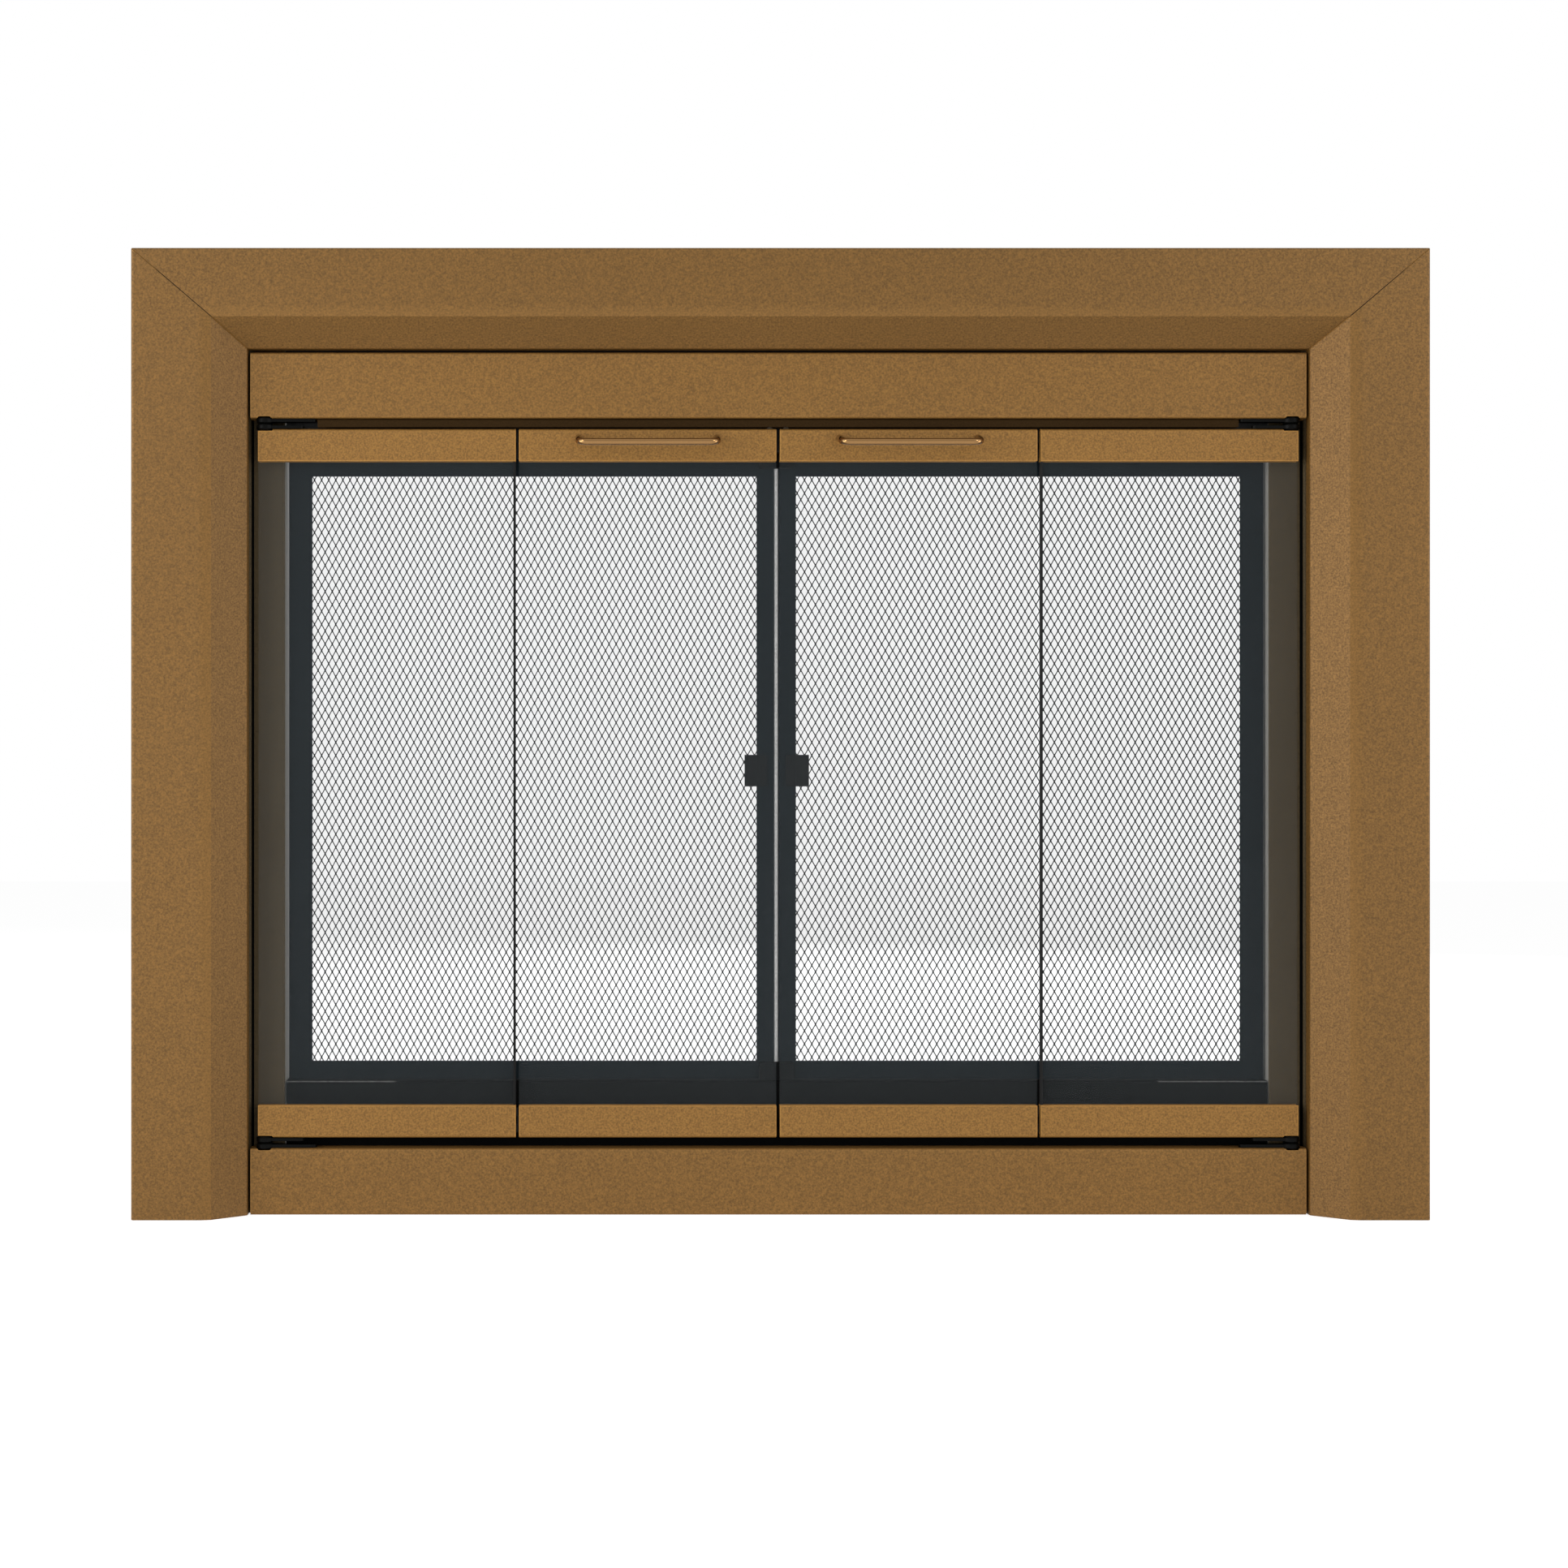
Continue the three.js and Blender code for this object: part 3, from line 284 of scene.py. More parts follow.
GLASS_COVER = 0.07  # share that the pane takes from the light behind it
GLASS_INDEX = 1.5
GLASS_GLOSS = 0.15
GLASS_ROUGHNESS = (0.03, 0.07)
# Painted reflection: the bluish veil that the pane lays over what is behind it, as two tints
GLASS_REFLECTION_TINTS = ((0.195, 0.22, 0.23, 1.0), (0.22, 0.25, 0.26, 1.0))
VEIL_PATCH_SCALE = 3.0


def glass_finish():
    """Clear glass with a thin bluish veil, a painted reflection in the pane's colour."""
    material, tree, shader = new_material("clear_glass")
    shader.inputs["Alpha"].default_value = GLASS_COVER
    shader.inputs["IOR"].default_value = GLASS_INDEX
    shader.inputs["Specular IOR Level"].default_value = GLASS_GLOSS
    veil_patches = noise(tree, VEIL_PATCH_SCALE, detail=1.0)
    tree.links.new(mixed(tree, remapped(tree, veil_patches, 0.0, 1.0), *GLASS_REFLECTION_TINTS), shader.inputs["Base Color"])
    tree.links.new(remapped(tree, veil_patches, *GLASS_ROUGHNESS), shader.inputs["Roughness"])
    return material


BRONZE = tone(131, 94, 41)
# Painted highlights along the edges of the bronze pieces
EDGE_HIGHLIGHT_SAMPLES = 4
EDGE_HIGHLIGHT_RADIUS = 2.0 * MM
EDGE_HIGHLIGHT_RANGE = (0.995, 0.95)  # cosines between the surface and its rounded form, from no painted highlight to the full one
EDGE_HIGHLIGHT_TINT = 2.6  # brightness of the full painted edge highlight, as a share of the bronze
# Painted highlight on the surround's ridge: its colour and its greatest share
RIDGE_HIGHLIGHT_TINT = 1.6
RIDGE_HIGHLIGHT_SHARE = 0.22


def edge_highlight_share(tree, strength):
    """Share of 0 to strength that grows towards an edge: a painted highlight along the edges."""
    rounded = tree.nodes.new("ShaderNodeBevel")
    rounded.samples = EDGE_HIGHLIGHT_SAMPLES
    rounded.inputs["Radius"].default_value = EDGE_HIGHLIGHT_RADIUS
    surface = tree.nodes.new("ShaderNodeNewGeometry")
    turn = tree.nodes.new("ShaderNodeVectorMath")
    turn.operation = "DOT_PRODUCT"
    tree.links.new(rounded.outputs["Normal"], turn.inputs[0])
    tree.links.new(surface.outputs["Normal"], turn.inputs[1])
    return map_range(tree, turn.outputs["Value"], *EDGE_HIGHLIGHT_RANGE, to_high=strength)


def bronze_coat(name, share, edge_highlight=0.0):
    material = grained(name, scaled(BRONZE, share), roughness=0.55, swing=0.38, bump=0.9, metallic=0.35)
    if edge_highlight:
        mix_over(material, edge_highlight_share(material.node_tree, edge_highlight), scaled(BRONZE, EDGE_HIGHLIGHT_TINT))
    return material


def ridged_bronze(name, share, axis, outer, width):
    """Surround coat, with a painted highlight where the band curves down to the crease."""
    material = bronze_coat(name, share)
    tree = material.node_tree
    crease = outer - width * BAND_SHARE
    place = from_middle(tree, axis)
    ridge_highlight = map_range(tree, place, crease + width * CURVED_SHARE, crease, to_high=RIDGE_HIGHLIGHT_SHARE)
    on_band = math_node(tree, "GREATER_THAN", place, crease)
    mix_over(material, math_node(tree, "MULTIPLY", ridge_highlight, on_band), scaled(BRONZE, RIDGE_HIGHLIGHT_TINT))
    return material


LACQUER_SHARE = 0.4
LACQUER_ROUGHNESS = 0.08


def handle_finish():
    """Bright bronze under a clear lacquer."""
    colour = tone(140, 104, 60)
    material = grained(
        "handle_bronze", colour, roughness=0.2, swing=0.05, bump=0.03, metallic=1.0, grain=FINE_GRAIN
    )
    shader = material.node_tree.nodes["Principled BSDF"]
    shader.inputs["Coat Weight"].default_value = LACQUER_SHARE
    shader.inputs["Coat Roughness"].default_value = LACQUER_ROUGHNESS
    return material


# How far past the return's face its painted highlight reaches
RETURN_HIGHLIGHT_REACH = 0.5 * MM
# The jamb's bronze, darkened as painted shade of its recess behind the doors, and the return's painted
# highlight
JAMB_SHADED_BRONZE = tone(84, 71, 48)
RETURN_HIGHLIGHT = tone(176, 173, 166)


def jamb_finish():
    """The jamb's coat darkened as painted shade, with a painted highlight in light grey on its return, which
    lies nearest to the middle.
    """
    material = grained("jamb_bronze", JAMB_SHADED_BRONZE, roughness=0.7, swing=0.25, bump=0.1, specular=0.2)
    tree = material.node_tree
    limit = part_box("jamb_right")[0].x + RETURN_HIGHLIGHT_REACH
    mix_over(material, math_node(tree, "LESS_THAN", from_middle(tree), limit), RETURN_HIGHLIGHT)
    return material


# Painted highlight on the sill ledge's front edge near its ends
SILL_HIGHLIGHT_HEIGHT = 1.2 * MM
SILL_HIGHLIGHT_LENGTH = 95.0 * MM
SILL_HIGHLIGHT_SCALE = 400.0
SILL_HIGHLIGHT_SHARES = (0.35, 1.0)
SILL_HIGHLIGHT_GREY = tone(135, 134, 131)


def sill_finish():
    """Matt black, with a painted highlight along the ledge's front edge near its two ends."""
    colour = tone(8, 8, 8)
    material = grained("sill_black", colour, roughness=0.75, swing=0.35, bump=0.05, specular=0.03, cloud=0.15)
    tree = material.node_tree
    low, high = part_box("sill_rail")
    share = remapped(tree, noise(tree, SILL_HIGHLIGHT_SCALE), *SILL_HIGHLIGHT_SHARES)
    limits = (
        ("GREATER_THAN", coordinate(tree, "Z"), high.z - SILL_HIGHLIGHT_HEIGHT),
        ("LESS_THAN", coordinate(tree, "Y"), low.y + SHEET),
        ("GREATER_THAN", from_middle(tree), high.x - SILL_HIGHLIGHT_LENGTH),
    )
    for operation, place, limit in limits:
        share = math_node(tree, "MULTIPLY", share, math_node(tree, operation, place, limit))
    mix_over(material, share, SILL_HIGHLIGHT_GREY)
    return material


# Brightness of the mitre's seam, dark as painted shade of the gap and bright on the bevel as a painted
# highlight: share of the way from the outer corner, and share of the bronze's colour
SEAM_SHADE_AND_HIGHLIGHT = ((0.18, 1.0), (0.27, 0.10), (BAND_SHARE, 0.03), (BAND_SHARE + 0.01, 1.4))


def seam_finish():
    """Bronze at the mitre's outer end, painted shade up to the crease, and a painted highlight on the bevel.
    """
    material = grained("seam_shade_and_highlight", BRONZE, roughness=0.6, swing=0.1, bump=0.1, metallic=0.3, specular=0.2)
    tree = material.node_tree
    ramp = tree.nodes.new("ShaderNodeValToRGB")
    tree.links.new(map_range(tree, from_middle(tree), SIDE_HIGH.x, SIDE_LOW.x), ramp.inputs["Fac"])
    tints = ramp.color_ramp.elements
    for i, (position, share) in enumerate(SEAM_SHADE_AND_HIGHLIGHT):
        tint = tints[i] if i < len(tints) else tints.new(position)
        tint.position = position
        tint.color = scaled(BRONZE, share)
    tree.links.new(ramp.outputs["Color"], tree.nodes["Principled BSDF"].inputs["Base Color"])
    return material


# Plain finishes, by slot, with the values that grained() takes
DEEP_BLACK = (0.0035, 0.0075, 0.0105)
PULL_BLACK = (0.0065, 0.0070, 0.0075)
PLAIN_FINISHES = {
    "shaded_bronze": dict(colour=tone(60, 43, 22), roughness=0.8, swing=0.2, bump=0.1, specular=0.05),
    "black_steel": dict(
        colour=tone(17, 17, 17), roughness=0.5, swing=0.35, bump=0.3, specular=0.3, cloud=0.15
    ),
    "pivot_black": dict(
        colour=tone(6, 6, 5), roughness=0.42, swing=0.1, bump=0.05, grain=FINE_GRAIN, specular=0.07
    ),
    "gate_black": dict(colour=DEEP_BLACK, roughness=0.7, swing=0.45, bump=0.03, specular=0.08),
    "pull_black": dict(colour=PULL_BLACK, roughness=0.7, swing=0.4, bump=0.05, specular=0.08),
    "mesh_black": dict(
        colour=tone(20, 20, 20), roughness=0.6, swing=0.1, bump=0.05, grain=FINE_GRAIN, specular=0.1
    ),
    "bare_steel": dict(
        colour=tone(150, 152, 155), roughness=0.35, swing=0.08, bump=0.1, metallic=0.9, grain=0.7 * MM
    ),
    "nylon": dict(
        colour=tone(70, 62, 50), roughness=0.6, swing=0.03, bump=0.05, grain=FINE_GRAIN, specular=0.2
    ),
    "seal_grey": dict(
        colour=tone(42, 42, 42), roughness=0.75, swing=0.08, bump=0.1, grain=FINE_GRAIN, specular=0.1
    ),
    "catch_black": dict(
        colour=tone(10, 11, 12), roughness=0.7, swing=0.2, bump=0.05, grain=FINE_GRAIN, specular=0.05
    ),
    # Near-black cord: a seal, and painted shade of the corner beside the jamb
    "corner_cord_shade_black": dict(
        colour=tone(5, 5, 5), roughness=0.9, swing=0.1, bump=0.1, grain=FINE_GRAIN, specular=0.02
    ),
    "woven_grey": dict(
        colour=tone(226, 226, 224), roughness=0.9, swing=0.25, bump=0.3, grain=1.2 * MM, specular=0.1
    ),
}
# One bronze, made lighter or darker per part: painted light and shade for the sheen each part takes
SURROUND_PAINTED_LIGHT = 0.93  # brightness as a share of the bronze, as in the coats below; painted light and shade
HEADER_PAINTED_LIGHT = 1.10
BOTTOM_PAINTED_LIGHT = 1.03
RAIL_PAINTED_LIGHT = 1.29
PANEL_EDGE_HIGHLIGHT = 0.3
RAIL_EDGE_HIGHLIGHT = 0.8


def make_finishes():
    """The finishes by name. Most are named after the record's material slots."""
    finishes = {
        "bronze_coat": ridged_bronze("surround_bronze", SURROUND_PAINTED_LIGHT, "X", SIDE_HIGH.x, SIDE_WIDTH),
        "top_bronze": ridged_bronze("top_bronze", SURROUND_PAINTED_LIGHT, "Z", TOP_HIGH.z, TOP_WIDTH),
        "header_bronze": bronze_coat("header_bronze", HEADER_PAINTED_LIGHT, PANEL_EDGE_HIGHLIGHT),
        "bottom_bronze": bronze_coat("bottom_bronze", BOTTOM_PAINTED_LIGHT, PANEL_EDGE_HIGHLIGHT),
        "rail_bronze": bronze_coat("rail_bronze", RAIL_PAINTED_LIGHT, RAIL_EDGE_HIGHLIGHT),
        "jamb_bronze": jamb_finish(),
        "seam_shade_and_highlight": seam_finish(),
        "handle_bronze": handle_finish(),
        "sill_black": sill_finish(),
        "glass": glass_finish(),
    }
    for name, values in PLAIN_FINISHES.items():
        finishes[name] = grained(name, **values)
    return finishes


OWN_FINISHES = {
    "header_panel": "header_bronze",
    "bottom_panel": "bottom_bronze",
    "jamb_left": "jamb_bronze",
    "jamb_right": "jamb_bronze",
    "sill_rail": "sill_black",
    "left_gate_pull": "pull_black",
    "right_gate_pull": "pull_black",
}


def finish_name(node_name, slot):
    """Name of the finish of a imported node."""
    if slot == "bronze_coat" and node_name.endswith("_rail"):
        return "rail_bronze"
    if slot == "black_steel" and "pivot" in node_name:
        return "pivot_black"
    return OWN_FINISHES.get(node_name, slot)


# ---- Edges of the folded and cut pieces ------------------------------------------------------------------

ROUNDING_ANGLE = math.radians(38)  # edges sharper than this are rounded and stay distinct in the shading
CREASE_LIMIT = math.radians(15)  # the same for the surround, whose crease is a gentle one
FLAT_ANGLE = math.radians(0.5)
WELD_DISTANCE = 0.01 * MM
PIVOT_EDGE = 0.8 * MM
EDGE_WIDTHS = {
    "bronze_coat": 0.7 * MM,
    "shaded_bronze": 0.3 * MM,
    "black_steel": 0.3 * MM,
    "gate_black": 0.4 * MM,
    "bare_steel": 0.3 * MM,
    "seal_grey": 0.15 * MM,
    "catch_black": 0.4 * MM,
    "glass": 0.4 * MM,
    "handle_bronze": 0.3 * MM,
    "nylon": 0.2 * MM,
}


def smoothing_group(name, limit):
    """Node group that shades faces smooth across every edge flatter than the limit."""
    group = bpy.data.node_groups.new(name, "GeometryNodeTree")
    group.interface.new_socket("Geometry", in_out="INPUT", socket_type="NodeSocketGeometry")
    group.interface.new_socket("Geometry", in_out="OUTPUT", socket_type="NodeSocketGeometry")
    source = group.nodes.new("NodeGroupInput")
    target = group.nodes.new("NodeGroupOutput")
    angle = group.nodes.new("GeometryNodeInputMeshEdgeAngle")
    sharp = group.nodes.new("FunctionNodeCompare")
    sharp.operation = "GREATER_THAN"
    sharp.inputs[1].default_value = limit
    normals = group.nodes.new("GeometryNodeSetMeshNormal")
    normals.mode = "SHARPNESS"
    normals.inputs["Remove Custom"].default_value = True
    group.links.new(angle.outputs["Unsigned Angle"], sharp.inputs[0])
    group.links.new(source.outputs[0], normals.inputs["Mesh"])
    group.links.new(sharp.outputs[0], normals.inputs["Edge Sharpness"])
    group.links.new(normals.outputs["Mesh"], target.inputs[0])
    return group


SMOOTHING = {
    ROUNDING_ANGLE: smoothing_group("smooth_by_angle", ROUNDING_ANGLE),
    CREASE_LIMIT: smoothing_group("smooth_to_crease", CREASE_LIMIT),
}


def soften(piece, width, limit=ROUNDING_ANGLE):
    """Rounds a piece's sharp edges by modifiers alone."""
    weld = piece.modifiers.new("weld", "WELD")
    weld.merge_threshold = WELD_DISTANCE
    flats = piece.modifiers.new("flats", "DECIMATE")
    flats.decimate_type = "DISSOLVE"
    flats.angle_limit = FLAT_ANGLE
    bevel = piece.modifiers.new("edges", "BEVEL")
    bevel.width = width
    bevel.segments = 2
    bevel.limit_method = "ANGLE"
    bevel.angle_limit = limit
    smooth = piece.modifiers.new("smooth", "NODES")
    smooth.node_group = SMOOTHING[limit]
    weights = piece.modifiers.new("weights", "WEIGHTED_NORMAL")
    weights.keep_sharp = True


# ---- Pieces in mesh code ---------------------------------------------------------------------------------


def add_body(bm, rings):
    """Closed body over rings of points, joined from one ring to the next and covered at both ends."""
    rings = [[bm.verts.new(point) for point in ring] for ring in rings]
    bm.faces.new(rings[0][::-1])
    bm.faces.new(rings[-1])
    for lower, upper in zip(rings, rings[1:]):
        for i in range(len(lower)):
            j = (i + 1) % len(lower)
            bm.faces.new((lower[i], lower[j], upper[j], upper[i]))


def add_piece(name, bodies, finish, body):
    """Piece that rides on a body of the model, from the rings of each of its closed bodies."""
    bm = bmesh.new()
    for rings in bodies:
        add_body(bm, rings)
    bmesh.ops.recalc_face_normals(bm, faces=bm.faces)
    mesh = bpy.data.meshes.new(name)
    bm.to_mesh(mesh)
    bm.free()
    mesh.materials.append(finish)
    piece = bpy.data.objects.new(name, mesh)
    scene.collection.objects.link(piece)
    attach(piece, body)
    return piece


def outer_and_inner(name, side):
    """The x of a piece's two faces, the one farthest from the door's middle first."""
    low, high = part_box(name)
    return (low.x, high.x) if side == "left" else (high.x, low.x)


# Gate mesh: expanded metal with upright diamonds
MESH_PITCH_X = {"left": 6.18 * MM, "right": 6.40 * MM}
MESH_PITCH_Z = 11.42 * MM
STRAND_WIDTH = 0.80 * MM
STRAND_DEPTH = 0.60 * MM
BOND_HALF_WIDTH = 0.75 * MM
BOND_HALF_HEIGHT = 1.5 * MM
BOND_DEPTH = 0.8 * MM


def clipped_line(start, along, low, high):
    """Nearest and farthest share of the line start + share * along inside the box low to high, or None."""
    near, far = -math.inf, math.inf
    for axis in range(2):
        first = (low[axis] - start[axis]) / along[axis]
        second = (high[axis] - start[axis]) / along[axis]
        near = max(near, min(first, second))
        far = min(far, max(first, second))
    return (near, far) if far > near else None


def prism(outline, middle, depth):
    """Rings of a prism along y, from an outline in x and z."""
    return [[(x, middle + end * depth / 2, z) for x, z in outline] for end in (-1, 1)]


def gate_mesh(side, finish):
    pitch_x = MESH_PITCH_X[side]
    low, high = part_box(f"{side}_gate_net")
    middle_y = (low.y + high.y) / 2
    inner_low = (low.x + STRAND_WIDTH, low.z + STRAND_WIDTH)
    inner_high = (high.x - STRAND_WIDTH, high.z - STRAND_WIDTH)
    columns = math.ceil((high.x - low.x) / pitch_x)
    rows = math.ceil((high.z - low.z) / MESH_PITCH_Z)
    centre_x, centre_z = (low.x + high.x) / 2, (low.z + high.z) / 2
    bodies = []
    for slope in (-1, 1):
        along = Vector((pitch_x, slope * MESH_PITCH_Z))
        across = Vector((-along.y, along.x)).normalized() * STRAND_WIDTH / 2
        for step in range(-(columns + rows), columns + rows + 1):
            start = (centre_x + step * pitch_x, centre_z)
            shares = clipped_line(start, along, inner_low, inner_high)
            if shares:
                first, last = [Vector(start) + along * share for share in shares]
                strand = [first - across, last - across, last + across, first + across]
                bodies.append(prism(strand, middle_y, STRAND_DEPTH))
    for row in range(-rows, rows + 1):
        for column in range(-columns, columns + 1):
            x = centre_x + column * pitch_x / 2
            z = centre_z + row * MESH_PITCH_Z / 2
            inside = inner_low[0] < x < inner_high[0] and inner_low[1] < z < inner_high[1]
            if inside and (row + column) % 2 == 0:
                corners = ((-1, 0), (0, -1), (1, 0), (0, 1))
                bond = [(x + i * BOND_HALF_WIDTH, z + j * BOND_HALF_HEIGHT) for i, j in corners]
                bodies.append(prism(bond, middle_y, BOND_DEPTH))
    piece = add_piece(f"{side}_gate_expanded_mesh", bodies, finish, f"{side}_gate")
    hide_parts(f"{side}_gate_net")


# Handle: a smooth wire bow whose bar lies lower than its feet
WIRE_RADIUS = 3.0 * MM
WIRE_BEND = 9.0 * MM
WIRE_SIDES = 24
WIRE_STEPS = 10


def quadratic(first, control, last):
    """Points of a quadratic curve after its first one."""
    shares = [step / WIRE_STEPS for step in range(1, WIRE_STEPS + 1)]
    return [first.lerp(control, t).lerp(control.lerp(last, t), t) for t in shares]


def wire_line(low, high):
    """Points along the wire, from the foot on the left to the foot on the right."""
    foot_z = high.z - WIRE_RADIUS
    bar_y, bar_z = low.y + WIRE_RADIUS, low.z + WIRE_RADIUS

    def half(leg_x, inward):
        foot = Vector((leg_x, high.y, foot_z))
        leg_top = Vector((leg_x, high.y - WIRE_RADIUS, foot_z))
        corner = Vector((leg_x, bar_y, bar_z))
        bend_start = corner + (leg_top - corner).normalized() * WIRE_BEND
        bend_end = corner + Vector((inward * WIRE_BEND, 0.0, 0.0))
        return [foot] + quadratic(foot, leg_top, bend_start) + quadratic(bend_start, corner, bend_end)

    return half(low.x + WIRE_RADIUS, 1) + half(high.x - WIRE_RADIUS, -1)[::-1]


def tube(line, radius, sides):
    """Rings around the points of a line, turned as little as they can be from one to the next."""
    heading = (line[1] - line[0]).normalized()
    spoke = heading.orthogonal().normalized() * radius
    rings = []
    for i, point in enumerate(line):
        ahead = line[min(i + 1, len(line) - 1)] - line[max(i - 1, 0)]
        spoke.rotate(heading.rotation_difference(ahead.normalized()))
        heading = ahead.normalized()
        turns = [Matrix.Rotation(2 * math.pi * k / sides, 3, heading) for k in range(sides)]
        rings.append([point + turn @ spoke for turn in turns])
    return rings


def handle_bow(side, finish):
    node = f"{side}_inner_handle"
    bow = tube(wire_line(*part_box(node)), WIRE_RADIUS, WIRE_SIDES)
    piece = add_piece(f"{side}_handle_bow", [bow], finish, f"{side}_inner_panel")
    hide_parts(node)
    soften(piece, EDGE_WIDTHS["handle_bronze"])


# Surround members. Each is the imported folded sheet, with its soft ridge drawn as on the finished piece: the
# band curves a little towards a crease, and the bevel is flat.
BEND_RADIUS = 2.5 * MM  # over the outside of the sheet
BEND_STEPS = 8
BEVEL_FALL = 25.0 * MM
BACK_FLANGE = 16.0 * MM
CREASE_ANGLE = math.radians(18)
CREASE_STEPS = 6
MITRE_GAP = 0.5 * MM
MEMBER_EDGE = 0.35 * MM
SEAM_THICKNESS = 0.46 * MM
SEAM_SINK = 0.12 * MM  # how far a mitre's filler lies behind the front faces


def rounded_corner(before, corner, after):
    """Points of the arc that rounds a corner of an outline."""
    into = (corner - before).normalized()
    out = (after - corner).normalized()
    half_turn = into.angle(out) / 2
    centre = corner + (out - into).normalized() * BEND_RADIUS / math.cos(half_turn)
    reach = BEND_RADIUS * math.tan(half_turn)
    first = (corner - into * reach - centre) / BEND_RADIUS
    last = (corner + out * reach - centre) / BEND_RADIUS
    return [centre + first.slerp(last, step / BEND_STEPS) * BEND_RADIUS for step in range(BEND_STEPS + 1)]


def member_outline():
    """Section of a side member: distances from its outer edge inwards, and y."""
    front, back = SIDE_LOW.y, SIDE_HIGH.y
    run = SIDE_WIDTH * CURVED_SHARE
    curve_start = SIDE_WIDTH * BAND_SHARE - run
    curve_radius = run / math.sin(CREASE_ANGLE)
    curve = []
    for step in range(CREASE_STEPS + 1):
        turn = CREASE_ANGLE * (1 - step / CREASE_STEPS)
        across, fall = curve_radius * math.sin(turn), curve_radius * (1 - math.cos(turn))
        curve.append(Vector((curve_start + across, front + fall)))
    flange = Vector((SIDE_WIDTH - BACK_FLANGE, back))
    inner_back = Vector((SIDE_WIDTH, back))
    inner_front = Vector((SIDE_WIDTH, front + BEVEL_FALL))
    outer_front = Vector((0.0, front))
    outer_back = Vector((0.0, back))
    face = [flange]
    face += rounded_corner(flange, inner_back, inner_front)
    face += rounded_corner(inner_back, inner_front, curve[0])
    face += curve
    face += rounded_corner(curve[-1], outer_front, outer_back)
    face.append(outer_back)
    inside = []
    for i, point in enumerate(face):
        before = point - face[i - 1] if i else face[1] - point
        after = face[i + 1] - point if i + 1 < len(face) else before
        normals = [Vector((way.y, -way.x)).normalized() for way in (before, after)]
        inside.append(point + (normals[0] + normals[1]) * SHEET / (1 + normals[0].dot(normals[1])))
    return face + inside[::-1]


def mitre_ring(end, outline, inset=0.0, lift=0.0):
    """The outline laid on the mitre plane of the left end, -1, or the right end, 1, and moved in and up."""
    return [
        (end * (SIDE_HIGH.x - inward - inset), y, TOP_HIGH.z - inward * MITRE_SLOPE + lift)
        for inward, y in outline
    ]


def add_member(name, rings, finish):
    piece = add_piece(f"{name}_member", [rings], finish, "root")
    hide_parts(name)
    soften(piece, MEMBER_EDGE, CREASE_LIMIT)


def surround_members(side_finish, top_finish):
    """The three members, each cut back by half the gap at its mitres."""
    outline = member_outline()
    drop = MITRE_GAP / 2 * math.hypot(1, MITRE_SLOPE)
    for side, end in MIRROR.items():
        foot = [(x, y, 0.0) for x, y, _ in mitre_ring(end, outline)]
        add_member(f"surround_{side}", [foot, mitre_ring(end, outline, lift=-drop)], side_finish)
    inset = MITRE_GAP / 2 * math.hypot(1, 1 / MITRE_SLOPE)
    add_member("surround_top", [mitre_ring(end, outline, inset=inset) for end in (-1, 1)], top_finish)


def mitre_seam(side, finish):
    """Filler of a mitre's gap, a little behind the surfaces on both sides of it, which carries the gap's
    painted shade and highlight.
    """
    reach = SEAM_THICKNESS / 2 * math.hypot(1, MITRE_SLOPE)
    section = member_outline()
    outline = [(max(inward, 2 * reach), min(y + SEAM_SINK, SIDE_HIGH.y)) for inward, y in section]
    rings = [mitre_ring(MIRROR[side], outline, lift=lift) for lift in (-reach, reach)]
    add_piece(f"mitre_seam_{side}", [rings], finish, "root")


# Woven seal in the gap between the two gates, carried by the left one
GAP_SEAL_CLEARANCE = 0.3 * MM
GAP_SEAL_END = 1.0 * MM
GAP_SEAL_SIDES = 10


def gate_gap_seal(finish):
    left_low, left_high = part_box("left_gate_frame")
    right_low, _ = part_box("right_gate_frame")
    left, right = left_high.x, right_low.x - GAP_SEAL_CLEARANCE
    half_width, half_depth = (right - left) / 2, (left_high.y - left_low.y) / 4
    middle_x, middle_y = (left + right) / 2, left_low.y + half_depth
    outline = []
    for step in range(GAP_SEAL_SIDES):
        turn = 2 * math.pi * (step + 0.5) / GAP_SEAL_SIDES
        outline.append((middle_x + half_width * math.cos(turn), middle_y + half_depth * math.sin(turn)))
    heights = (left_low.z + GAP_SEAL_END, left_high.z - GAP_SEAL_END)
    rings = [[(x, y, z) for x, y in outline] for z in heights]
    add_piece("gate_gap_seal", [rings], finish, "left_gate")


# Soft black cord in the corner between the surround and a jamb, a seal such as these doors have, made
# near-black as painted shade of that corner
JAMB_STEP = 1.5 * MM  # the jamb's face starts this far inside the surround's opening
JAMB_FACE_BACK = 5.7 * MM  # and lies this far behind the front of its flange
CORD_WIDTH = 1.8 * MM
CORD_DEPTH = 3.0 * MM
CORD_STEPS = 6


def side_seal(side, finish):
    """Quarter-round cord on a jamb's face, from the bottom panel to the header, near-black as painted shade
    of the corner.
    """
    mirror = MIRROR[side]
    corner_x = outer_and_inner(f"surround_{side}", side)[1] - mirror * JAMB_STEP
    face_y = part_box(f"jamb_{side}")[0].y + JAMB_FACE_BACK
    heights = (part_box("bottom_panel")[1].z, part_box("header_panel")[0].z)
    outline = [(corner_x, face_y)]
    for step in range(CORD_STEPS + 1):
        angle = math.pi / 2 * step / CORD_STEPS
        out, forward = CORD_WIDTH * math.cos(angle), CORD_DEPTH * math.sin(angle)
        outline.append((corner_x - mirror * out, face_y - forward))
    rings = [[(x, y, z) for x, y in outline] for z in heights]
    add_piece(f"side_seal_{side}", [rings], finish, "root")


# ---- Fasteners -------------------------------------------------------------------------------------------

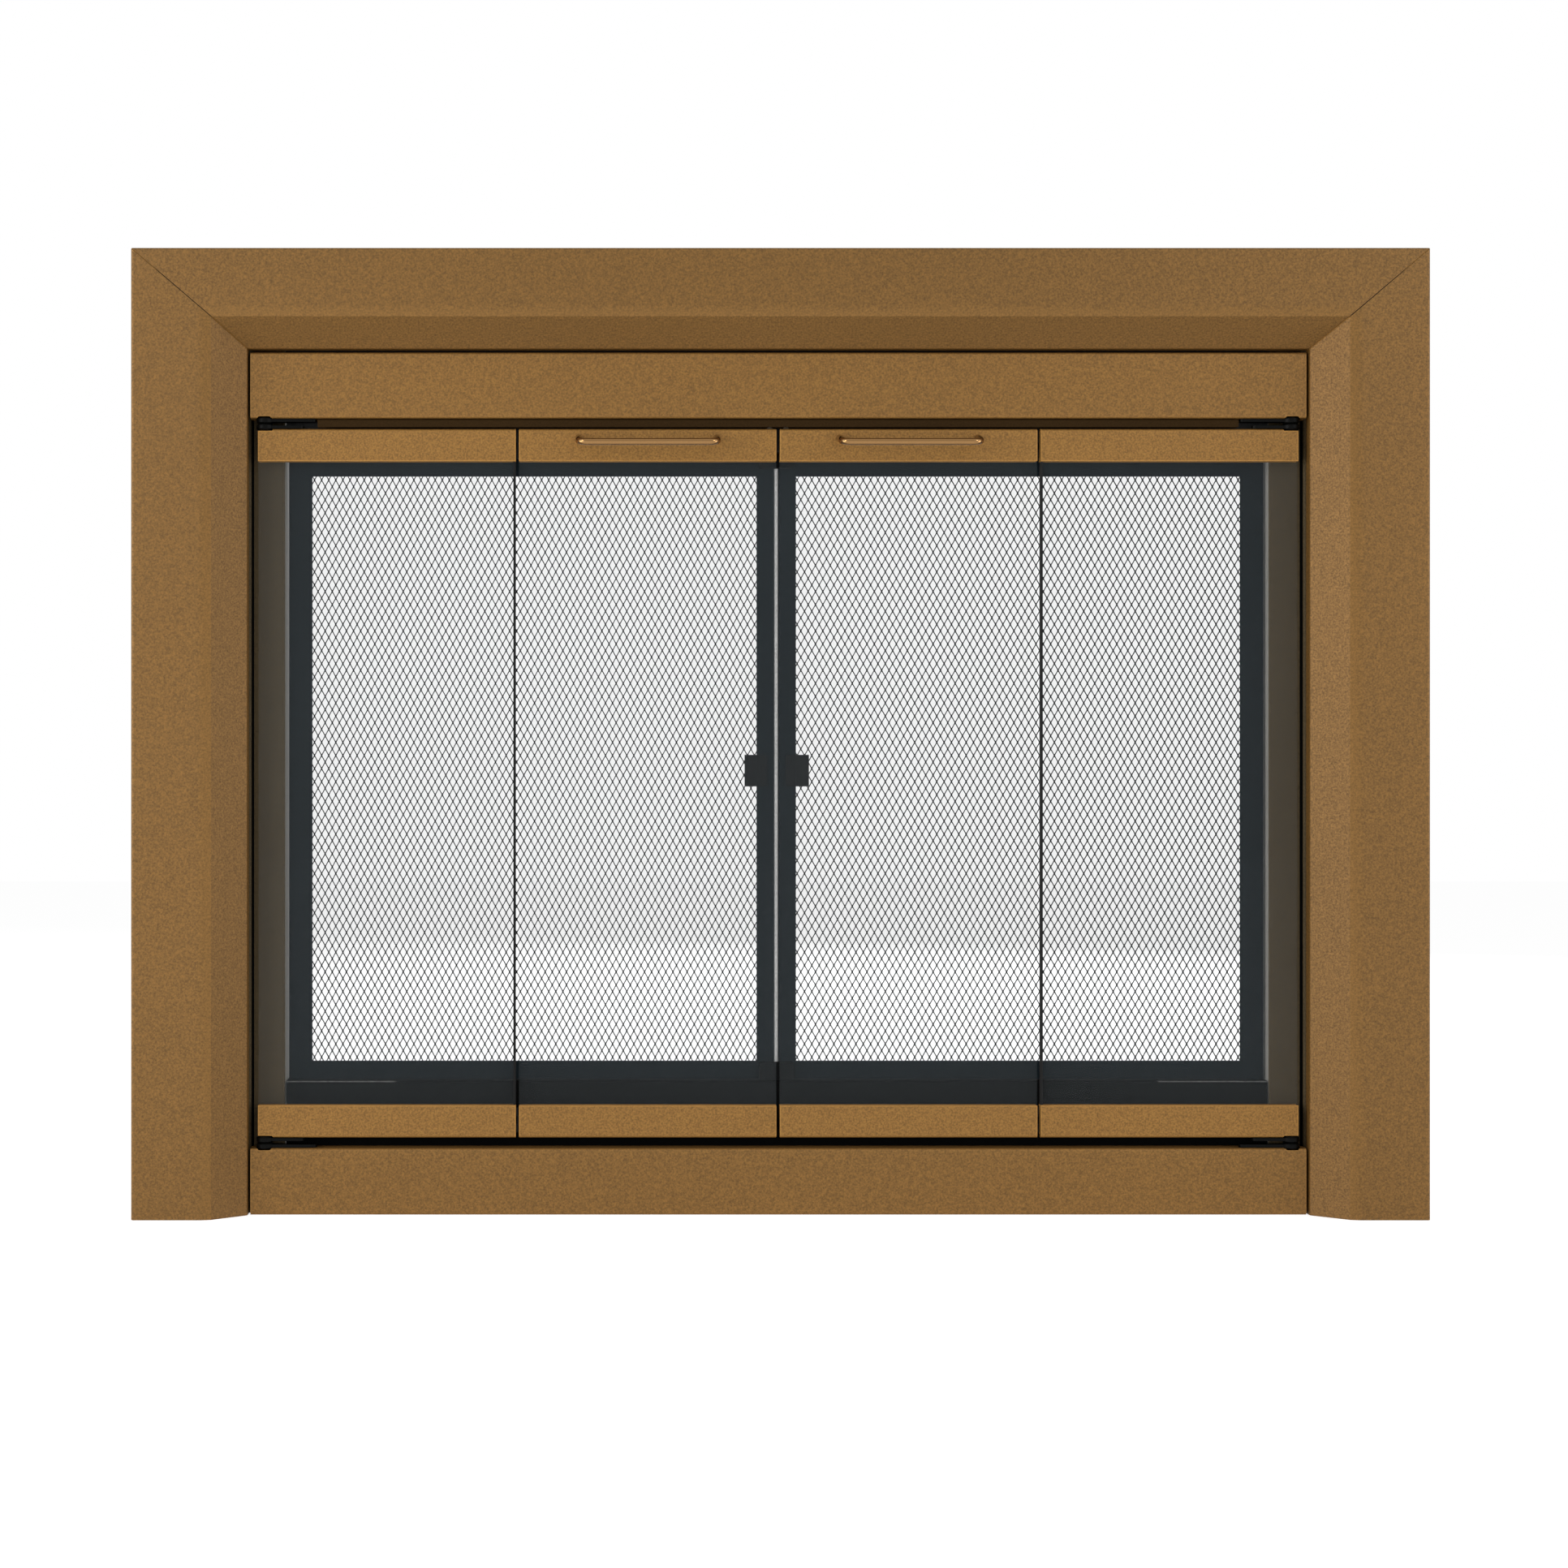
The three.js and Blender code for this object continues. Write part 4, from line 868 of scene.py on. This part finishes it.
# Profiles of (radius, height) points in millimetres, from the seat outwards, with their count of sides
PAN_HEAD = ([(3.8, 0.0), (4.0, 0.5), (3.6, 1.6), (2.8, 2.1), (1.5, 2.2), (1.3, 1.2)], 16)
SMALL_HEAD = ([(2.0, 0.0), (2.1, 0.3), (1.8, 0.8), (1.3, 1.0), (0.8, 1.0), (0.7, 0.6)], 16)
HEX_NUT = ([(4.3, 0.0), (4.6, 0.3), (4.6, 3.2), (4.3, 3.5)], 6)
STUD_END = ([(2.4, 0.0), (2.4, 5.2), (2.0, 5.7)], 16)
FASTENER_EDGE = 0.1 * MM

STRAP = 3.0 * MM  # thickness of the clamps and brackets
LEAF_THICKNESS = 1.2 * MM
KEY_ROW = 15.0 * MM  # from a corner key's edges to its holes
FLANGE_INSET = 8.0 * MM
JAMB_SCREWS = 5
CLAMP_SCREW_HEIGHTS = (12.0 * MM, 36.0 * MM)
BRACKET_SCREW_SPREAD = 9.0 * MM
BRACKET_SCREW_DROP = 12.0 * MM
PANEL_SCREW_PLACES = (-0.36, -0.12, 0.12, 0.36)
LEAF_SCREW_SPREAD = 6.0 * MM
LEAF_SCREW_SHARE = 0.6  # of a leaf's width, from its pin


def turned(place, profile, sides):
    """Rings of a revolve about the line from the place towards +Y."""
    rings = []
    for radius, height in profile:
        turns = [2 * math.pi * step / sides for step in range(sides)]
        spokes = [Vector((radius * math.cos(t), height, radius * math.sin(t))) * MM for t in turns]
        rings.append([Vector(place) + spoke for spoke in spokes])
    return rings


def fasteners(name, places, finish, kinds=(PAN_HEAD,), body="root"):
    """One piece for a group of like fasteners."""
    bodies = [turned(place, *kind) for place in places for kind in kinds]
    soften(add_piece(name, bodies, finish, body), FASTENER_EDGE)


def key_nuts(side, finish):
    """Nuts on the studs behind a mitre, in the corner key's four holes."""
    low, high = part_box(f"corner_key_{side}")
    outer, _ = outer_and_inner(f"corner_key_{side}", side)
    leg = high.z - low.z
    spots = [(KEY_ROW, leg - KEY_ROW), (KEY_ROW, leg / 2), (leg - KEY_ROW, KEY_ROW), (leg / 2, KEY_ROW)]
    places = [(outer - MIRROR[side] * across, high.y, high.z - down) for across, down in spots]
    fasteners(f"key_nuts_{side}", places, finish, (HEX_NUT, STUD_END))


def frame_screws(side, finish):
    """Screws that hold the jamb's flange, the lintel clamp and the hearth bracket, seen from behind."""
    low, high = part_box(f"jamb_{side}")
    x = outer_and_inner(f"jamb_{side}", side)[0] - MIRROR[side] * FLANGE_INSET
    heights = [high.z * (step + 0.5) / JAMB_SCREWS for step in range(JAMB_SCREWS)]
    fasteners(f"jamb_screws_{side}", [(x, low.y + SHEET, z) for z in heights], finish)
    low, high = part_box(f"lintel_clamp_{side}")
    x = (low.x + high.x) / 2
    places = [(x, low.y + STRAP, low.z + up) for up in CLAMP_SCREW_HEIGHTS]
    fasteners(f"clamp_screws_{side}", places, finish)
    low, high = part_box(f"hearth_bracket_{side}")
    x = (low.x + high.x) / 2
    places = [(x + end * BRACKET_SCREW_SPREAD, low.y + STRAP, high.z - BRACKET_SCREW_DROP) for end in (-1, 1)]
    fasteners(f"bracket_screws_{side}", places, finish)


def panel_screws(finish):
    """Screws through the lintel and the sill into the two panels, and in the lintel's upper flange."""
    lintel_low, lintel_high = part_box("lintel_rail")
    face_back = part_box("sill_rail")[0].y + SHEET
    header_low, header_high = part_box("header_panel")
    bottom_low, bottom_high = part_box("bottom_panel")
    rows = (
        ("lintel_screws", lintel_low.y + SHEET, lintel_high.z - FLANGE_INSET),
        ("header_screws", face_back, (header_low.z + header_high.z) / 2),
        ("bottom_screws", face_back, (bottom_low.z + bottom_high.z) / 2),
    )
    for name, y, z in rows:
        fasteners(name, [(x, y, z) for x in PANEL_SCREW_PLACES], finish)


def hinge_screws(side, finish):
    """Two small screws in each leaf of the fold hinges."""
    for panel in ("outer", "inner"):
        for height in ("top", "bottom"):
            low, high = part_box(f"{side}_{panel}_hinge_{height}")
            pin_left = (panel == "outer") == (side == "right")
            reach = (high.x - low.x) * LEAF_SCREW_SHARE
            x = low.x + reach if pin_left else high.x - reach
            middle_z = (low.z + high.z) / 2
            places = [(x, low.y + LEAF_THICKNESS, middle_z + end * LEAF_SCREW_SPREAD) for end in (-1, 1)]
            name = f"{side}_{panel}_hinge_screws_{height}"
            fasteners(name, places, finish, (SMALL_HEAD,), f"{side}_{panel}_panel")


# ---- Assembly --------------------------------------------------------------------------------------------

make_camera()
make_world()
make_floor()
make_lights()
finishes = make_finishes()
for subpart in frame["record"]["subparts"]:
    node = frame["nodes"][subpart["node"]]
    slot = subpart["material_slot"]
    for material_slot in node.material_slots:
        material_slot.material = finishes[finish_name(subpart["node"], slot)]
    soften(node, PIVOT_EDGE if "pivot" in subpart["node"] else EDGE_WIDTHS[slot])
surround_members(finishes["bronze_coat"], finishes["top_bronze"])
for side in MIRROR:
    gate_mesh(side, finishes["mesh_black"])
    handle_bow(side, finishes["handle_bronze"])
    mitre_seam(side, finishes["seam_shade_and_highlight"])
    side_seal(side, finishes["corner_cord_shade_black"])
    key_nuts(side, finishes["bare_steel"])
    frame_screws(side, finishes["bare_steel"])
    hinge_screws(side, finishes["black_steel"])
gate_gap_seal(finishes["woven_grey"])
panel_screws(finishes["bare_steel"])

scene.view_settings.view_transform = "Standard"
